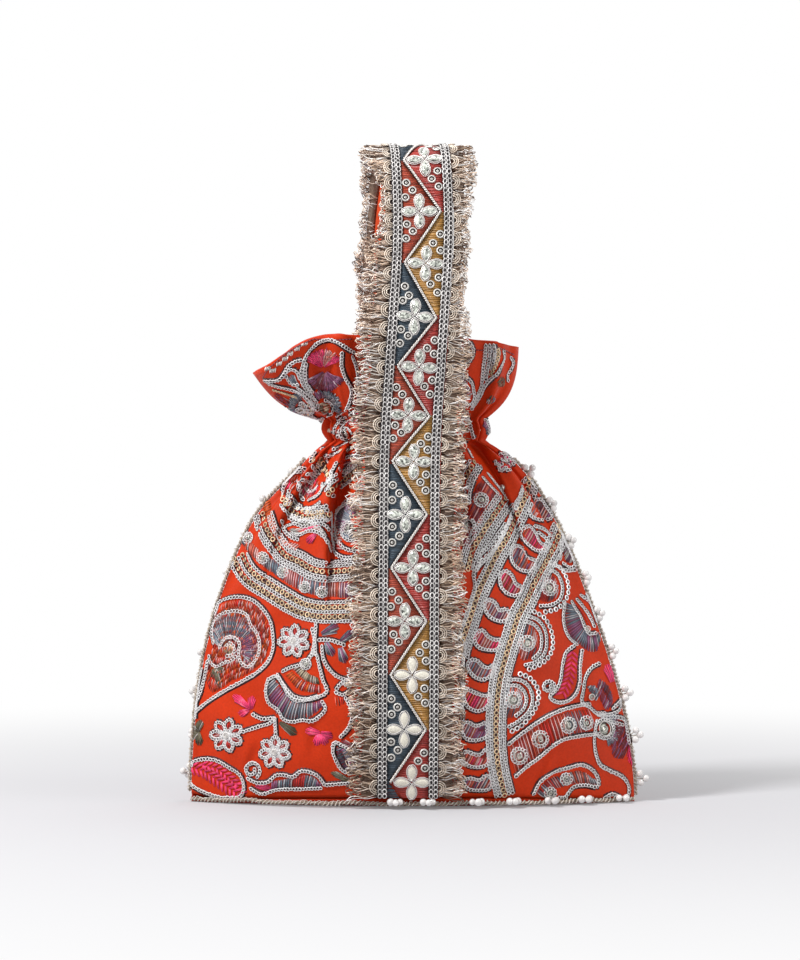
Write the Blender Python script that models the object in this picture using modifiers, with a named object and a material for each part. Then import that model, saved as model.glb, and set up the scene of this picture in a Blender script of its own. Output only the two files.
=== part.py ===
"""Potli bag: a gathered, lined pouch of embroidered silk with a fringed strap that loops over its mouth.

Metres, +Z up. The origin is on the surface that the bag stands on, under the middle of its base. The front faces -Y.
Two cloth panels are sewn together at the sides. The back panel also folds under the bag to make its flat
underside, so the bottom seam runs along the front edge. A cord runs in the channel round the neck.
"""

import math

import bmesh
import bpy
import numpy as np
from mathutils import Matrix, Vector

MM = 0.001

# Cloth and sewing
CLOTH = 1.2 * MM  # embroidered silk with its backing
HEM_CLOTH = 2.2 * MM  # the same cloth folded over at the mouth
LINING_CLOTH = 0.8 * MM
SEW_GAP = 0.3 * MM  # left between pieces that touch

# Body of the bag
BASE_HALF_WIDTH = 112.0 * MM
NECK_HALF_WIDTH = 41.0 * MM
BELLY_HALF_DEPTH = 46.0 * MM
NECK_HALF_DEPTH = 18.5 * MM
BODY_HEIGHT = 182.0 * MM  # base to the lower row of neck stitching
CASING_HEIGHT = 11.0 * MM
CASING_PUFF = 3.0 * MM
SIDE_LEAN = 4.5 * MM  # how far the upper body sits to the left of the base
SEAM_LIFT = 4.0 * MM  # rise of the bottom seam at the middle of the front
BASE_ROUND = 4.0 * MM
BASE_TUCK = 0.24  # share of the belly's depth that is missing at the base
WIDTH_POWER = 1.85
WIDTH_ROUND = 0.74
DEPTH_POWER = 2.2
DEPTH_ROUND = 0.8
BODY_POINTEDNESS = 2.0  # 1 is an ellipse in plan, 2 a lens with pointed ends
NECK_POINTEDNESS = 1.5

# Gathers and ruffle
PLEATS = 7  # in each panel
PLEAT_DEPTH = 2.6 * MM
GATHER_START = 0.5  # share of the body's height where the pleats begin
RUFFLE_LENGTH = 42.0 * MM
HEM_HEIGHT = 4.5 * MM
RUFFLE_WAVES = 2
RUFFLE_WAVE_DEPTH = 3.0 * MM
RUFFLE_TILT_LEFT = 56.0
RUFFLE_TILT_RIGHT = 29.0
RUFFLE_TILT_MIDDLE = 11.0

# Neck cord and lining
NECK_CORD_RADIUS = 1.2 * MM
LINING_EASE = 1.0 * MM
TIP_EASE = 1.8  # how much more the lining draws in at the seams' sharp corners

# Beaded edging in the seams
PIPING_RADIUS = 1.1 * MM
PEARL_RADIUS = 2.2 * MM
PEARL_PITCH = 20.0 * MM
EDGING_LIFT = 0.3  # how much of the bottom seam's rise the edging follows
EDGING_TOP = 0.95  # share of the body's height where the edging ends

# Strap
STRAP_HALF_WIDTH = 15.0 * MM
STRAP_LINING_CLOTH = 0.8 * MM
STRAP_CLOTH = 1.4 * MM
LACE_WIDTH = 4.8 * MM
LACE_THICKNESS = 1.1 * MM
FRINGE_WIDTH_LEFT = 14.5 * MM
FRINGE_WIDTH_RIGHT = 13.0 * MM
FRINGE_TOOTH = 2.2 * MM
FRINGE_THICKNESS = 2.4 * MM
STRAP_TOP = 330.0 * MM  # outside of the strap at the top of its loop
LOOP_RADIUS = 21.0 * MM
LEG_STEP = 18.0 * MM
LOOP_STEP = 6.2 * MM
FRINGE_STEP = 8.0 * MM
STRAP_SWAY = (  # share of the strap's length from its front foot, and its sideways place there
    (0.0, -2.7 * MM),
    (0.26, -1.7 * MM),
    (0.42, 5.8 * MM),
    (0.5, 3.0 * MM),
    (0.58, -5.7 * MM),
    (0.76, -4.0 * MM),
    (1.0, 0.0),
)

# Mirror flowers on the strap
FLOWER_COUNT = 26
FLOWER_RADIUS = 7.8 * MM
FLOWER_WAIST = 0.36  # radius between two petals, as a share of the petals' reach
PETAL_HALF_ANGLE = 15.0
FLOWER_SHIFT = 1.9 * MM
FLOWER_EDGE = 0.8 * MM
FLOWER_CROWN = 1.5 * MM
FLOWER_GAP = 0.6 * MM
FLOWER_MARGIN = 0.4 * MM  # from the strap's ends to the first and last petals

# Silver braid that zigzags between the flowers
BRAID_REACH = 8.7 * MM
BRAID_WIDTH = 2.2 * MM
BRAID_THICKNESS = 0.9 * MM

PANEL_COLUMNS = 4 * PLEATS
BODY_ROWS = 10
RUFFLE_ROWS = 4
NECK_CORD_POINTS = 24
LINING_COLUMNS = 20
SEAM_OFFSET = CLOTH + SEW_GAP / 2
NECK_TOP = BODY_HEIGHT + CASING_HEIGHT
RIM = NECK_TOP + RUFFLE_LENGTH


def clear_scene():
    for old in list(bpy.data.objects):
        bpy.data.objects.remove(old, do_unlink=True)


def make_collection(name):
    collection = bpy.data.collections.new(name)
    bpy.context.scene.collection.children.link(collection)
    return collection


def make_material(name, colour, roughness, metallic=0.0):
    material = bpy.data.materials.new(name)
    material.use_nodes = True
    shader = material.node_tree.nodes["Principled BSDF"]
    shader.inputs["Base Color"].default_value = (*colour, 1.0)
    shader.inputs["Roughness"].default_value = roughness
    shader.inputs["Metallic"].default_value = metallic
    return material


def smooth_ramp(t):
    """0 below 0 and 1 above 1, with level ends."""
    t = np.clip(t, 0.0, 1.0)
    return t * t * (3.0 - 2.0 * t)


def half_width(share):
    """Half the bag's width at a share of the body's height."""
    slope = (1.0 - share**WIDTH_POWER) ** WIDTH_ROUND
    return NECK_HALF_WIDTH + (BASE_HALF_WIDTH - NECK_HALF_WIDTH) * slope


def half_depth(share):
    """Half the bag's depth: fullest at the belly, tucked in a little at the base."""
    slope = (1.0 - share**DEPTH_POWER) ** DEPTH_ROUND
    tuck = 1.0 - BASE_TUCK * np.clip(1.0 - share / 0.35, 0.0, 1.0) ** 2
    return NECK_HALF_DEPTH + (BELLY_HALF_DEPTH * tuck - NECK_HALF_DEPTH) * slope


def centre_x(share):
    return -SIDE_LEAN * smooth_ramp(share / 0.6)


def pointedness(share):
    return BODY_POINTEDNESS + (NECK_POINTEDNESS - BODY_POINTEDNESS) * share**2


def pleat_depth(share):
    """Depth of the gathers, which fade out down the body."""
    return PLEAT_DEPTH * smooth_ramp((share - GATHER_START) / (1.0 - GATHER_START))


def ruffle_tilt(turn):
    """Lean of the ruffle away from upright, in radians: most at the left, least in the middle."""
    right = np.clip(np.cos(turn), 0.0, 1.0) ** 1.6
    left = np.clip(-np.cos(turn), 0.0, 1.0) ** 1.6
    tilt = RUFFLE_TILT_MIDDLE + (RUFFLE_TILT_RIGHT - RUFFLE_TILT_MIDDLE) * right
    tilt = tilt + (RUFFLE_TILT_LEFT - RUFFLE_TILT_MIDDLE) * left
    return np.radians(tilt)


def wall(turn, climb, side):
    """Outer face of a panel. turn runs from 0 at the right seam to pi at the left, climb is the distance up the
    cloth, side is -1 for the front and 1 for the back."""
    turn, climb = np.broadcast_arrays(np.asarray(turn, float), np.asarray(climb, float))
    share = np.clip(climb / BODY_HEIGHT, 0.0, 1.0)
    wide = half_width(share)
    deep = half_depth(share)
    cosine = np.cos(turn)
    sine = np.abs(np.sin(turn))
    reach = np.hypot(deep * cosine, wide * sine)
    casing = np.clip((climb - BODY_HEIGHT) / CASING_HEIGHT, 0.0, 1.0)
    frill = np.clip(climb - NECK_TOP, 0.0, RUFFLE_LENGTH)
    frill_share = frill / RUFFLE_LENGTH
    tilt = ruffle_tilt(turn)
    gathers = pleat_depth(share) * (1.0 - 0.7 * frill_share) * np.cos(2 * PLEATS * turn)
    waves = RUFFLE_WAVE_DEPTH * frill_share * np.cos(2 * RUFFLE_WAVES * turn + side)
    out = gathers + waves * sine + CASING_PUFF * np.sin(np.pi * casing) + frill * np.sin(tilt)
    x = centre_x(share) + wide * cosine + out * deep * cosine / reach
    y = side * (SEAM_OFFSET + deep * sine ** pointedness(share) + out * wide * sine / reach)
    z = np.minimum(climb, NECK_TOP) + frill * np.cos(tilt)
    return np.stack([x, y, z], axis=-1)


def inner_ring(climb, inset, columns):
    """A smooth closed ring inside the pleats of both panels, inset from their valleys."""
    turn = np.linspace(0.0, 2 * np.pi, columns, endpoint=False)
    share = np.clip(climb / BODY_HEIGHT, 0.0, 1.0)
    shrink = pleat_depth(share) + inset
    x = centre_x(share) + (half_width(share) - TIP_EASE * shrink) * np.cos(turn)
    y = (half_depth(share) - shrink) * np.sign(np.sin(turn)) * np.abs(np.sin(turn)) ** pointedness(share)
    return np.stack([x, y, np.full(columns, climb)], axis=-1)


def body_climbs(start):
    """Heights of the grid's rows, closer together towards the gathered neck and the hem."""
    steps = np.linspace(0.0, 1.0, BODY_ROWS + 1)
    body = start + (BODY_HEIGHT - start) * (1.0 - (1.0 - steps) ** 1.45)
    casing = [BODY_HEIGHT + CASING_HEIGHT / 2, NECK_TOP]
    frill = NECK_TOP + np.linspace(0.0, RUFFLE_LENGTH - HEM_HEIGHT, RUFFLE_ROWS)[1:]
    return np.concatenate([body, casing, frill, [RIM]])


def seam_height(turn):
    """Height of the cloth's underside along the bottom seam."""
    return SEAM_LIFT * np.sin(turn) ** 2


def grid_faces(rows, columns, flip, closed=False):
    faces = []
    for row in range(rows - 1):
        for column in range(columns if closed else columns - 1):
            after = (column + 1) % columns
            corners = [
                row * columns + column,
                row * columns + after,
                (row + 1) * columns + after,
                (row + 1) * columns + column,
            ]
            faces.append(corners[::-1] if flip else corners)
    return faces


def cloth_surface(name, points, collection, material, flip=False, closed=False, cap=False):
    """A sheet through a grid of points, rows by columns; closed joins its first and last columns."""
    rows, columns = points.shape[:2]
    faces = grid_faces(rows, columns, flip, closed)
    if cap:
        floor = list(range(columns))
        faces.append(floor if flip else floor[::-1])
    mesh = bpy.data.meshes.new(name)
    mesh.from_pydata(points.reshape(-1, 3).tolist(), [], faces)
    mesh.materials.append(material)
    mesh.shade_smooth()
    sheet = bpy.data.objects.new(name, mesh)
    collection.objects.link(sheet)
    return sheet


def thicken(sheet, thickness, offset=-1.0, group=None, thin_share=0.0):
    solidify = sheet.modifiers.new("Thickness", "SOLIDIFY")
    solidify.thickness = thickness
    solidify.offset = offset
    solidify.use_rim = True
    if group is not None:
        solidify.vertex_group = group
        solidify.thickness_vertex_group = thin_share
    return solidify


def thicken_with_hem(panel, rows, columns):
    """Cloth thickness all over, with the folded hem's thickness on the last two rows."""
    hem = panel.vertex_groups.new(name="hem")
    hem.add(list(range((rows - 2) * columns, rows * columns)), 1.0, "REPLACE")
    thicken(panel, HEM_CLOTH, group="hem", thin_share=CLOTH / HEM_CLOTH)


def build_front_panel(collection, silk):
    turn = np.linspace(0.0, np.pi, PANEL_COLUMNS + 1)
    climbs = body_climbs(CLOTH + SEW_GAP)
    points = wall(turn[None, :], climbs[:, None], -1)
    lowest = climbs[0] + seam_height(turn)
    points[0, :, 2] = lowest
    points[1, :, 2] = np.maximum(points[1, :, 2], lowest + BASE_ROUND)
    panel = cloth_surface("front_panel", points, collection, silk, flip=True)
    thicken_with_hem(panel, *points.shape[:2])
    return panel


def build_back_panel(collection, silk):
    """The back wall and, in one piece with it, the underside that folds forward to the bottom seam."""
    turn = np.linspace(0.0, np.pi, PANEL_COLUMNS + 1)
    front_edge = wall(turn, 0.0, -1)
    back_edge = wall(turn, 0.0, 1)
    back_edge[:, 1] -= np.minimum(BASE_ROUND, 0.3 * back_edge[:, 1])
    floor_rows = []
    for share in (0.0, 0.12, 0.6, 1.0):
        row = front_edge + (back_edge - front_edge) * share
        row[:, 2] = seam_height(turn) if share == 0.0 else 0.0
        floor_rows.append(row)
    upright = wall(turn[None, :], body_climbs(BASE_ROUND)[:, None], 1)
    points = np.concatenate([np.array(floor_rows), upright])
    panel = cloth_surface("back_panel", points, collection, silk)
    thicken_with_hem(panel, *points.shape[:2])
    return panel


def lining_inset(climb):
    """How far inside the pleats the lining hangs; it passes inside the cord at the neck."""
    beside_cord = smooth_ramp((climb - 0.8 * BODY_HEIGHT) / (0.2 * BODY_HEIGHT))
    return CLOTH + LINING_EASE + (2 * NECK_CORD_RADIUS + SEW_GAP) * beside_cord


def build_lining(collection, lining_silk):
    floor = CLOTH + 2 * SEW_GAP
    rows = body_climbs(SEAM_LIFT)
    near_neck = BODY_ROWS - 2
    climbs = np.concatenate([rows[1:near_neck:2], rows[near_neck : BODY_ROWS + 1], [NECK_TOP]])
    rings = [inner_ring(climb, lining_inset(climb), LINING_COLUMNS) for climb in climbs]
    bottom = rings[0].copy()
    bottom[:, 0] *= 0.95
    bottom[:, 1] *= 0.62
    bottom[:, 2] = floor
    points = np.array([bottom, *rings])
    lining = cloth_surface("lining_bag", points, collection, lining_silk, closed=True, cap=True)
    thicken(lining, LINING_CLOTH)
    return lining


def curve_tube(name, points, radii, collection, material, cyclic=False):
    """A round cord through points, as a curve with a bevel and a radius at each point."""
    curve = bpy.data.curves.new(name, "CURVE")
    curve.dimensions = "3D"
    curve.bevel_depth = radii[0]
    curve.bevel_resolution = 1
    curve.use_fill_caps = not cyclic
    spline = curve.splines.new("POLY")
    spline.points.add(len(points) - 1)
    for place, point, radius in zip(spline.points, points, radii):
        place.co = (*point, 1.0)
        place.radius = radius / radii[0]
    spline.use_cyclic_u = cyclic
    curve.materials.append(material)
    cord = bpy.data.objects.new(name, curve)
    collection.objects.link(cord)
    return cord


def build_neck_cord(collection, material):
    """The closed cord that gathers the neck, lying against the valleys of the pleats inside the channel."""
    inset = CLOTH + SEW_GAP + NECK_CORD_RADIUS - CASING_PUFF - SEAM_OFFSET
    ring = inner_ring(BODY_HEIGHT + CASING_HEIGHT / 2, inset, NECK_CORD_POINTS)
    return curve_tube("neck_cord", ring, [NECK_CORD_RADIUS] * len(ring), collection, material, cyclic=True)


def square_in_plan(line):
    """Level directions square to a line, on its right-hand side."""
    heading = np.gradient(line, axis=0)
    level = np.stack([heading[:, 1], -heading[:, 0], np.zeros(len(line))], axis=-1)
    return level / np.linalg.norm(level, axis=1)[:, None]


def side_seam(turn):
    """Line down a side seam, and the direction away from the bag at each of its points."""
    climbs = np.linspace(EDGING_TOP * BODY_HEIGHT, PEARL_RADIUS + SEW_GAP, 19)
    seam = wall(turn, climbs, -1)
    seam[:, 1] = 0.0
    fall = np.gradient(seam, axis=0)
    away = np.stack([-fall[:, 2], 0 * climbs, fall[:, 0]], axis=-1) * np.sign(seam[:, :1])
    return seam, away / np.linalg.norm(away, axis=1)[:, None]


def bottom_seam():
    """Line along the front of the base from left to right, and the direction away from the bag."""
    turn = np.linspace(np.pi, 0.0, 33)[1:-1]
    lowest = PEARL_RADIUS + SEW_GAP + EDGING_LIFT * seam_height(turn)
    seam = wall(turn, lowest + PEARL_RADIUS, -1)
    seam[:, 2] = lowest
    return seam, square_in_plan(seam)


def run_along(points):
    """Distance from the first point to each point of a line."""
    return np.concatenate([[0.0], np.cumsum(np.linalg.norm(np.diff(points, axis=0), axis=1))])


def interpolate(distances, run, table):
    """Rows of a table read at given distances along a line."""
    return np.stack([np.interp(distances, run, table[:, axis]) for axis in range(3)], axis=-1)


def strung(path, outward):
    """Centres and radii of a cord against a seam, swelling into pairs of pearls at even steps."""
    run = run_along(path)
    pairs = round(run[-1] / PEARL_PITCH)
    pitch = run[-1] / pairs
    offsets = np.array([-2.0, -1.0, 0.0, 1.0, 2.0]) * PEARL_RADIUS
    swells = np.array([PIPING_RADIUS, PEARL_RADIUS, PIPING_RADIUS, PEARL_RADIUS, PIPING_RADIUS])
    in_pairs = ((np.arange(pairs) + 0.5) * pitch)[:, None] + offsets
    distances = np.concatenate([[0.0], in_pairs.ravel(), [run[-1]]])
    radii = np.concatenate([[PIPING_RADIUS], np.tile(swells, pairs), [PIPING_RADIUS]])
    away = interpolate(distances, run, outward)
    return interpolate(distances, run, path) + away * (radii[:, None] + 2 * SEW_GAP), radii


def build_edging(collection, pearl):
    """The beaded cord sewn into the seams: down the left side, along the base and up the right side."""
    left, left_radii = strung(*side_seam(np.pi))
    base, base_radii = strung(*bottom_seam())
    right, right_radii = strung(*side_seam(0.0))
    corners = []
    for side, start, end in ((-1, left[-1], base[0]), (1, right[-1], base[-1])):
        diagonal = np.array([side, -1.0, 0.0]) / math.sqrt(2)
        corners.append([(start + end) / 2 + diagonal * PIPING_RADIUS])
    centres = np.concatenate([left, corners[0], base, corners[1], right[::-1]])
    radii = np.concatenate([left_radii, [PIPING_RADIUS], base_radii, [PIPING_RADIUS], right_radii[::-1]])
    return curve_tube("beaded_edging", centres, list(radii), collection, pearl)


def upper_hull(along_z, outward):
    """The taut line over a profile: its concave upper envelope, read at the same heights."""
    kept = []
    for point in zip(along_z, outward):
        while len(kept) > 1:
            (z0, y0), (z1, y1) = kept[-2], kept[-1]
            if (y1 - y0) * (point[0] - z1) > (point[1] - y1) * (z1 - z0):
                break
            kept.pop()
        kept.append(point)
    corners = np.array(kept)
    return np.interp(along_z, corners[:, 0], corners[:, 1])


def leg_profile(side):
    """Heights and outward distances of the strap's inner face from the base to the rim of the ruffle."""
    climbs = np.linspace(strap_foot(), RIM, 120)
    share = np.clip(climbs / BODY_HEIGHT, 0.0, 1.0)
    middle = wall(np.pi / 2, climbs, side)
    sampled = [wall(turn, climbs, side)[:, 1] * side for turn in np.linspace(0.38, 0.62, 25) * np.pi]
    cloth = np.max(sampled, axis=0) + 0.2 * pleat_depth(share)
    heights = middle[:, 2]
    taut = upper_hull(heights, cloth)
    return heights, np.maximum(cloth, (cloth + 2 * taut) / 3) + 3 * SEW_GAP


def strap_foot():
    """Height of the strap's lower end, just above the beaded edging."""
    return 2 * PEARL_RADIUS + EDGING_LIFT * SEAM_LIFT + 3 * SEW_GAP


def strap_line():
    """Centreline of the strap's inner face: up the front, round the loop and down the back."""
    inner_top = STRAP_TOP - STRAP_LINING_CLOTH - STRAP_CLOTH - LACE_THICKNESS - 2 * SEW_GAP
    front_z, front_out = leg_profile(-1)
    back_z, back_out = leg_profile(1)
    bend = np.linspace(0.0, np.pi, 40)
    bend_y = -LOOP_RADIUS * np.cos(bend)
    bend_z = inner_top - LOOP_RADIUS + LOOP_RADIUS * np.sin(bend)
    y = np.concatenate([-front_out, bend_y, back_out[::-1]])
    z = np.concatenate([front_z, bend_z, back_z[::-1]])
    line = np.stack([np.zeros_like(y), y, z], axis=-1)
    run = run_along(line)
    even = interpolate(np.linspace(0.0, run[-1], 400), run, line)
    window = np.hanning(25) / np.hanning(25).sum()
    padded = np.pad(even, ((12, 12), (0, 0)), mode="reflect", reflect_type="odd")
    smooth = np.stack([np.convolve(padded[:, axis], window, mode="valid") for axis in range(3)], axis=-1)
    shares, places = np.array(STRAP_SWAY).T
    wide_window = np.hanning(49) / np.hanning(49).sum()
    shift = np.pad(np.interp(np.linspace(0.0, 1.0, 400), shares, places), 24, mode="edge")
    smooth[:, 0] = np.convolve(shift, wide_window, mode="valid")
    return smooth


class StrapFrame:
    """Maps strap coordinates (distance along, across, height above the inner face) to places on the bag."""

    def __init__(self):
        self.line = strap_line()
        self.run = run_along(self.line)
        self.length = self.run[-1]
        heading = np.gradient(self.line, axis=0)
        heading /= np.linalg.norm(heading, axis=1)[:, None]
        level = np.array([[1.0, 0.0, 0.0]])
        outward = np.cross(heading, level) * -1.0
        outward /= np.linalg.norm(outward, axis=1)[:, None]
        self.outward = outward
        self.across = np.cross(outward, heading) * -1.0

    def at(self, table, distance):
        return interpolate(distance, self.run, table)

    def place(self, distance, across, height):
        distance, across, height = np.broadcast_arrays(distance, across, height)
        return (
            self.at(self.line, distance)
            + self.at(self.across, distance) * across[..., None]
            + self.at(self.outward, distance) * height[..., None]
        )

    def stations(self, leg_step, loop_step):
        """Distances along the strap, closer together round the loop."""
        tops = self.run[self.line[:, 2] > STRAP_TOP - 1.6 * LOOP_RADIUS]
        first, last = tops[0], tops[-1]
        legs_up = np.linspace(0.0, first, max(2, round(first / leg_step)) + 1)
        loop = np.linspace(first, last, max(2, round((last - first) / loop_step)) + 1)
        legs_down = np.linspace(last, self.length, max(2, round((self.length - last) / leg_step)) + 1)
        return np.concatenate([legs_up, loop[1:-1], legs_down])


def strap_strip(name, frame, distances, inner, outer, base, thickness, collection, material):
    """A flat strip along the strap between two distances across it, which may change along its length."""
    inner = np.broadcast_to(inner, distances.shape)
    outer = np.broadcast_to(outer, distances.shape)
    edges = [frame.place(distances, edge, base) for edge in (inner, outer)]
    points = np.stack(edges, axis=1)
    strip = cloth_surface(name, points, collection, material, flip=bool(np.mean(outer - inner) < 0))
    thicken(strip, thickness, offset=1.0)
    return strip


def build_strap(frame, collection, colours):
    distances = frame.stations(LEG_STEP, LOOP_STEP)
    half = STRAP_HALF_WIDTH
    band_base = STRAP_LINING_CLOTH + SEW_GAP
    lace_base = band_base + STRAP_CLOTH + SEW_GAP
    strap_strip("strap_lining", frame, distances, -half, half, 0.0, STRAP_LINING_CLOTH, collection, colours["silk"])
    strap_strip("strap_band", frame, distances, -half, half, band_base, STRAP_CLOTH, collection, colours["crimson"])
    for word, side in (("left", -1), ("right", 1)):
        strap_strip(
            f"lace_{word}",
            frame,
            distances,
            side * (half - LACE_WIDTH),
            side * half,
            lace_base,
            LACE_THICKNESS,
            collection,
            colours["silver"],
        )


def build_fringes(frame, collection, gold):
    """Looped fringe along both edges of the strap, with a notched outer edge."""
    count = 2 * round(frame.length / FRINGE_STEP / 2) + 1
    distances = np.linspace(0.0, frame.length, count)
    notch = FRINGE_TOOTH * (np.arange(count) % 2)
    base = STRAP_LINING_CLOTH / 2
    for word, side, width in (("left", -1, FRINGE_WIDTH_LEFT), ("right", 1, FRINGE_WIDTH_RIGHT)):
        inner = side * (STRAP_HALF_WIDTH + SEW_GAP)
        outer = side * (STRAP_HALF_WIDTH + width - notch)
        strap_strip(
            f"fringe_{word}", frame, distances, inner, outer, base, FRINGE_THICKNESS, collection, gold
        )


def petal_outline():
    """Angles and radii of a four-petalled outline: two shoulders to each petal and a waist between petals."""
    quarters = np.radians(90.0) * np.arange(4)[:, None]
    half = math.radians(PETAL_HALF_ANGLE)
    angles = (quarters + np.array([-half, half, math.radians(45.0)])).ravel()
    radii = FLOWER_RADIUS * np.tile([1.0, 1.0, FLOWER_WAIST], 4)
    return angles, radii


def build_flower(name, frame, distance, across, collection, mirror):
    """A four-petalled mirror flower that follows the strap's bend, with a raised crown."""
    base = STRAP_LINING_CLOTH + STRAP_CLOTH + SEW_GAP + FLOWER_GAP
    angles, radii = petal_outline()
    rim = frame.place(distance + radii * np.sin(angles), across + radii * np.cos(angles), base)
    hub = frame.place(distance, across, base)
    petals = bmesh.new()
    corners = [petals.verts.new(spot) for spot in rim]
    centre = petals.verts.new(hub)
    for corner, after in zip(corners, corners[1:] + corners[:1]):
        petals.faces.new((centre, after, corner))
    outward = Vector(frame.at(frame.outward, distance))
    raised = bmesh.ops.extrude_face_region(petals, geom=petals.faces[:], use_keep_orig=True)
    for vertex in [item for item in raised["geom"] if isinstance(item, bmesh.types.BMVert)]:
        vertex.co += outward * (FLOWER_CROWN if len(vertex.link_faces) == len(corners) else FLOWER_EDGE)
    bmesh.ops.recalc_face_normals(petals, faces=petals.faces)
    mesh = bpy.data.meshes.new(name)
    petals.to_mesh(mesh)
    petals.free()
    mesh.materials.append(mirror)
    flower = bpy.data.objects.new(name, mesh)
    collection.objects.link(flower)
    return flower


def flower_distances(frame):
    """Evenly spaced places of the flowers along the strap, with the same margin at both ends."""
    margin = FLOWER_RADIUS + FLOWER_MARGIN
    return np.linspace(margin, frame.length - margin, FLOWER_COUNT)


def build_flowers(frame, collection, mirror):
    """One flower in each coloured triangle of the strap, swinging from side to side."""
    for number, distance in enumerate(flower_distances(frame)):
        across = FLOWER_SHIFT * (1 if number % 2 == 0 else -1)
        build_flower(f"mirror_flower_{number + 1:02d}", frame, distance, across, collection, mirror)


def build_braid(frame, collection, silver):
    """The silver braid between the triangles: it turns beside each flower, at the triangle's point."""
    corners = flower_distances(frame)
    turns = BRAID_REACH * np.where(np.arange(len(corners)) % 2 == 0, -1.0, 1.0)
    legs = (corners[:-1] + corners[1:]) / 2
    round_loop = np.linspace(corners[0], corners[-1], 4 * (len(corners) - 1) + 1)
    height = frame.at(frame.line, round_loop)[:, 2]
    distances = np.unique(np.round(np.concatenate([corners, legs, round_loop[height > RIM]]), 7))
    centre = np.interp(distances, corners, turns)
    base = STRAP_LINING_CLOTH + STRAP_CLOTH + 4 * SEW_GAP
    half = BRAID_WIDTH / 2
    strap_strip("zigzag_braid", frame, distances, centre - half, centre + half, base, BRAID_THICKNESS, collection, silver)


def main():
    clear_scene()
    bag = make_collection("potli_bag")
    silk = make_material("vermilion_silk", (0.72, 0.065, 0.012), 0.55)
    lining_silk = make_material("orange_lining", (0.62, 0.08, 0.02), 0.6)
    crimson = make_material("crimson_weave", (0.38, 0.02, 0.02), 0.6)
    silver = make_material("silver_lace", (0.55, 0.53, 0.5), 0.4, 0.4)
    gold = make_material("gold_fringe", (0.42, 0.32, 0.22), 0.5, 0.3)
    thread = make_material("cream_cord", (0.6, 0.52, 0.42), 0.6)
    pearl = make_material("pearl", (0.8, 0.74, 0.68), 0.3)
    mirror = make_material("mirror_petal", (0.75, 0.77, 0.78), 0.15, 0.8)
    build_front_panel(bag, silk)
    build_back_panel(bag, silk)
    build_lining(bag, lining_silk)
    build_neck_cord(bag, thread)
    build_edging(bag, pearl)
    frame = StrapFrame()
    build_strap(frame, bag, {"silk": silk, "crimson": crimson, "silver": silver})
    build_fringes(frame, bag, gold)
    build_flowers(frame, bag, mirror)
    build_braid(frame, bag, silver)


main()
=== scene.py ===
# %% [markdown]
# # A potli bag in embroidered silk
# A potli is a drawstring pouch. This one is of vermilion silk, gathered at the neck, with a ruffle above it, beaded
# cords in its seams and a wide fringed strap that loops over the top. The imported CAD model gives every size and
# place. This lesson loads it as a fixed frame and makes each piece again as it looks from close by: folds, stitches,
# loops of thread and pearls.

import math

import bpy
import numpy as np
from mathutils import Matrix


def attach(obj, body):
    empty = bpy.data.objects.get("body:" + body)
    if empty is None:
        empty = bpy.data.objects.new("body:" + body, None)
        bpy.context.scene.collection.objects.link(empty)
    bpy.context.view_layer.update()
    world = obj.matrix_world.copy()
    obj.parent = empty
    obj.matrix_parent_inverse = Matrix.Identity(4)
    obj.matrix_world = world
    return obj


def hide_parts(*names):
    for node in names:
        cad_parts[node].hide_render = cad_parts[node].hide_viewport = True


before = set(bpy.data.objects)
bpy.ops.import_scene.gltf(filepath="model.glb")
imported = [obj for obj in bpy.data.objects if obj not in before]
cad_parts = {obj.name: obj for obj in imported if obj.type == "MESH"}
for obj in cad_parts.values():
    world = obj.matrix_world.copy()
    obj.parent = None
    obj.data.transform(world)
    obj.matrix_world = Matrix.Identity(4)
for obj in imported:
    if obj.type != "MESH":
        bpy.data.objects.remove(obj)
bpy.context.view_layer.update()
MM = 0.001

# %% [markdown]
# The photograph was taken level with the middle of the bag, from far enough away that its sides hardly converge. Its
# frame takes in 480 mm of height on the plane of the bag's face. The lens follows from the camera's distance.

# %% Camera
FACE_Y = -20 * MM
CAMERA_PLACE = np.array([-6.5, -1600.0, 162.5]) * MM
VIEW_HEIGHT = 480 * MM
SENSOR = 36.0

camera_data = bpy.data.cameras.new("camera")
camera_data.sensor_width = SENSOR
camera_data.lens = SENSOR * (FACE_Y - CAMERA_PLACE[1]) / VIEW_HEIGHT
camera = bpy.data.objects.new("camera", camera_data)
camera.location = CAMERA_PLACE
camera.rotation_euler = (math.radians(90), 0.0, 0.0)
bpy.context.scene.collection.objects.link(camera)
bpy.context.scene.camera = camera
print("lens:", round(camera_data.lens, 1))

# %% [markdown]
# The studio is a pale floor that runs to the horizon under a pale sky. Where the camera sees them, part of their
# colour is given by the material itself, so they stay near white while the lamps stay at a plain level. Round the bag
# most of the floor's colour is lit, so it keeps the bag's shadow. Far away all of it is the floor's own white, the
# same white as the sky, and no line shows between them.

# %% Floor, sky and lamps
SKY_LIGHT = 0.44
FLOOR_ALBEDO = 0.56
NEAR_SHARE, FAR_SHARE = 0.14, 1.0
NEAR_DISTANCE, FAR_DISTANCE = 0.05, 0.75
SHADOW_TINT = (0.97, 0.96, 1.0)
FLOOR_HALF_SIZE = 60.0
WHITE = (1.0, 1.0, 1.0, 1.0)
LAMP_TARGET = np.array([0.0, 0.0, 0.13])


def make_node(tree, kind, inputs, **settings):
    """A shader node with its settings. Each input gets a value, or is linked to the socket that is given for it."""
    made = tree.nodes.new("ShaderNode" + kind)
    for word, value in settings.items():
        setattr(made, word, value)
    for socket, value in inputs.items():
        if isinstance(value, bpy.types.NodeSocket):
            tree.links.new(value, made.inputs[socket])
        else:
            made.inputs[socket].default_value = value
    return made


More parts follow.
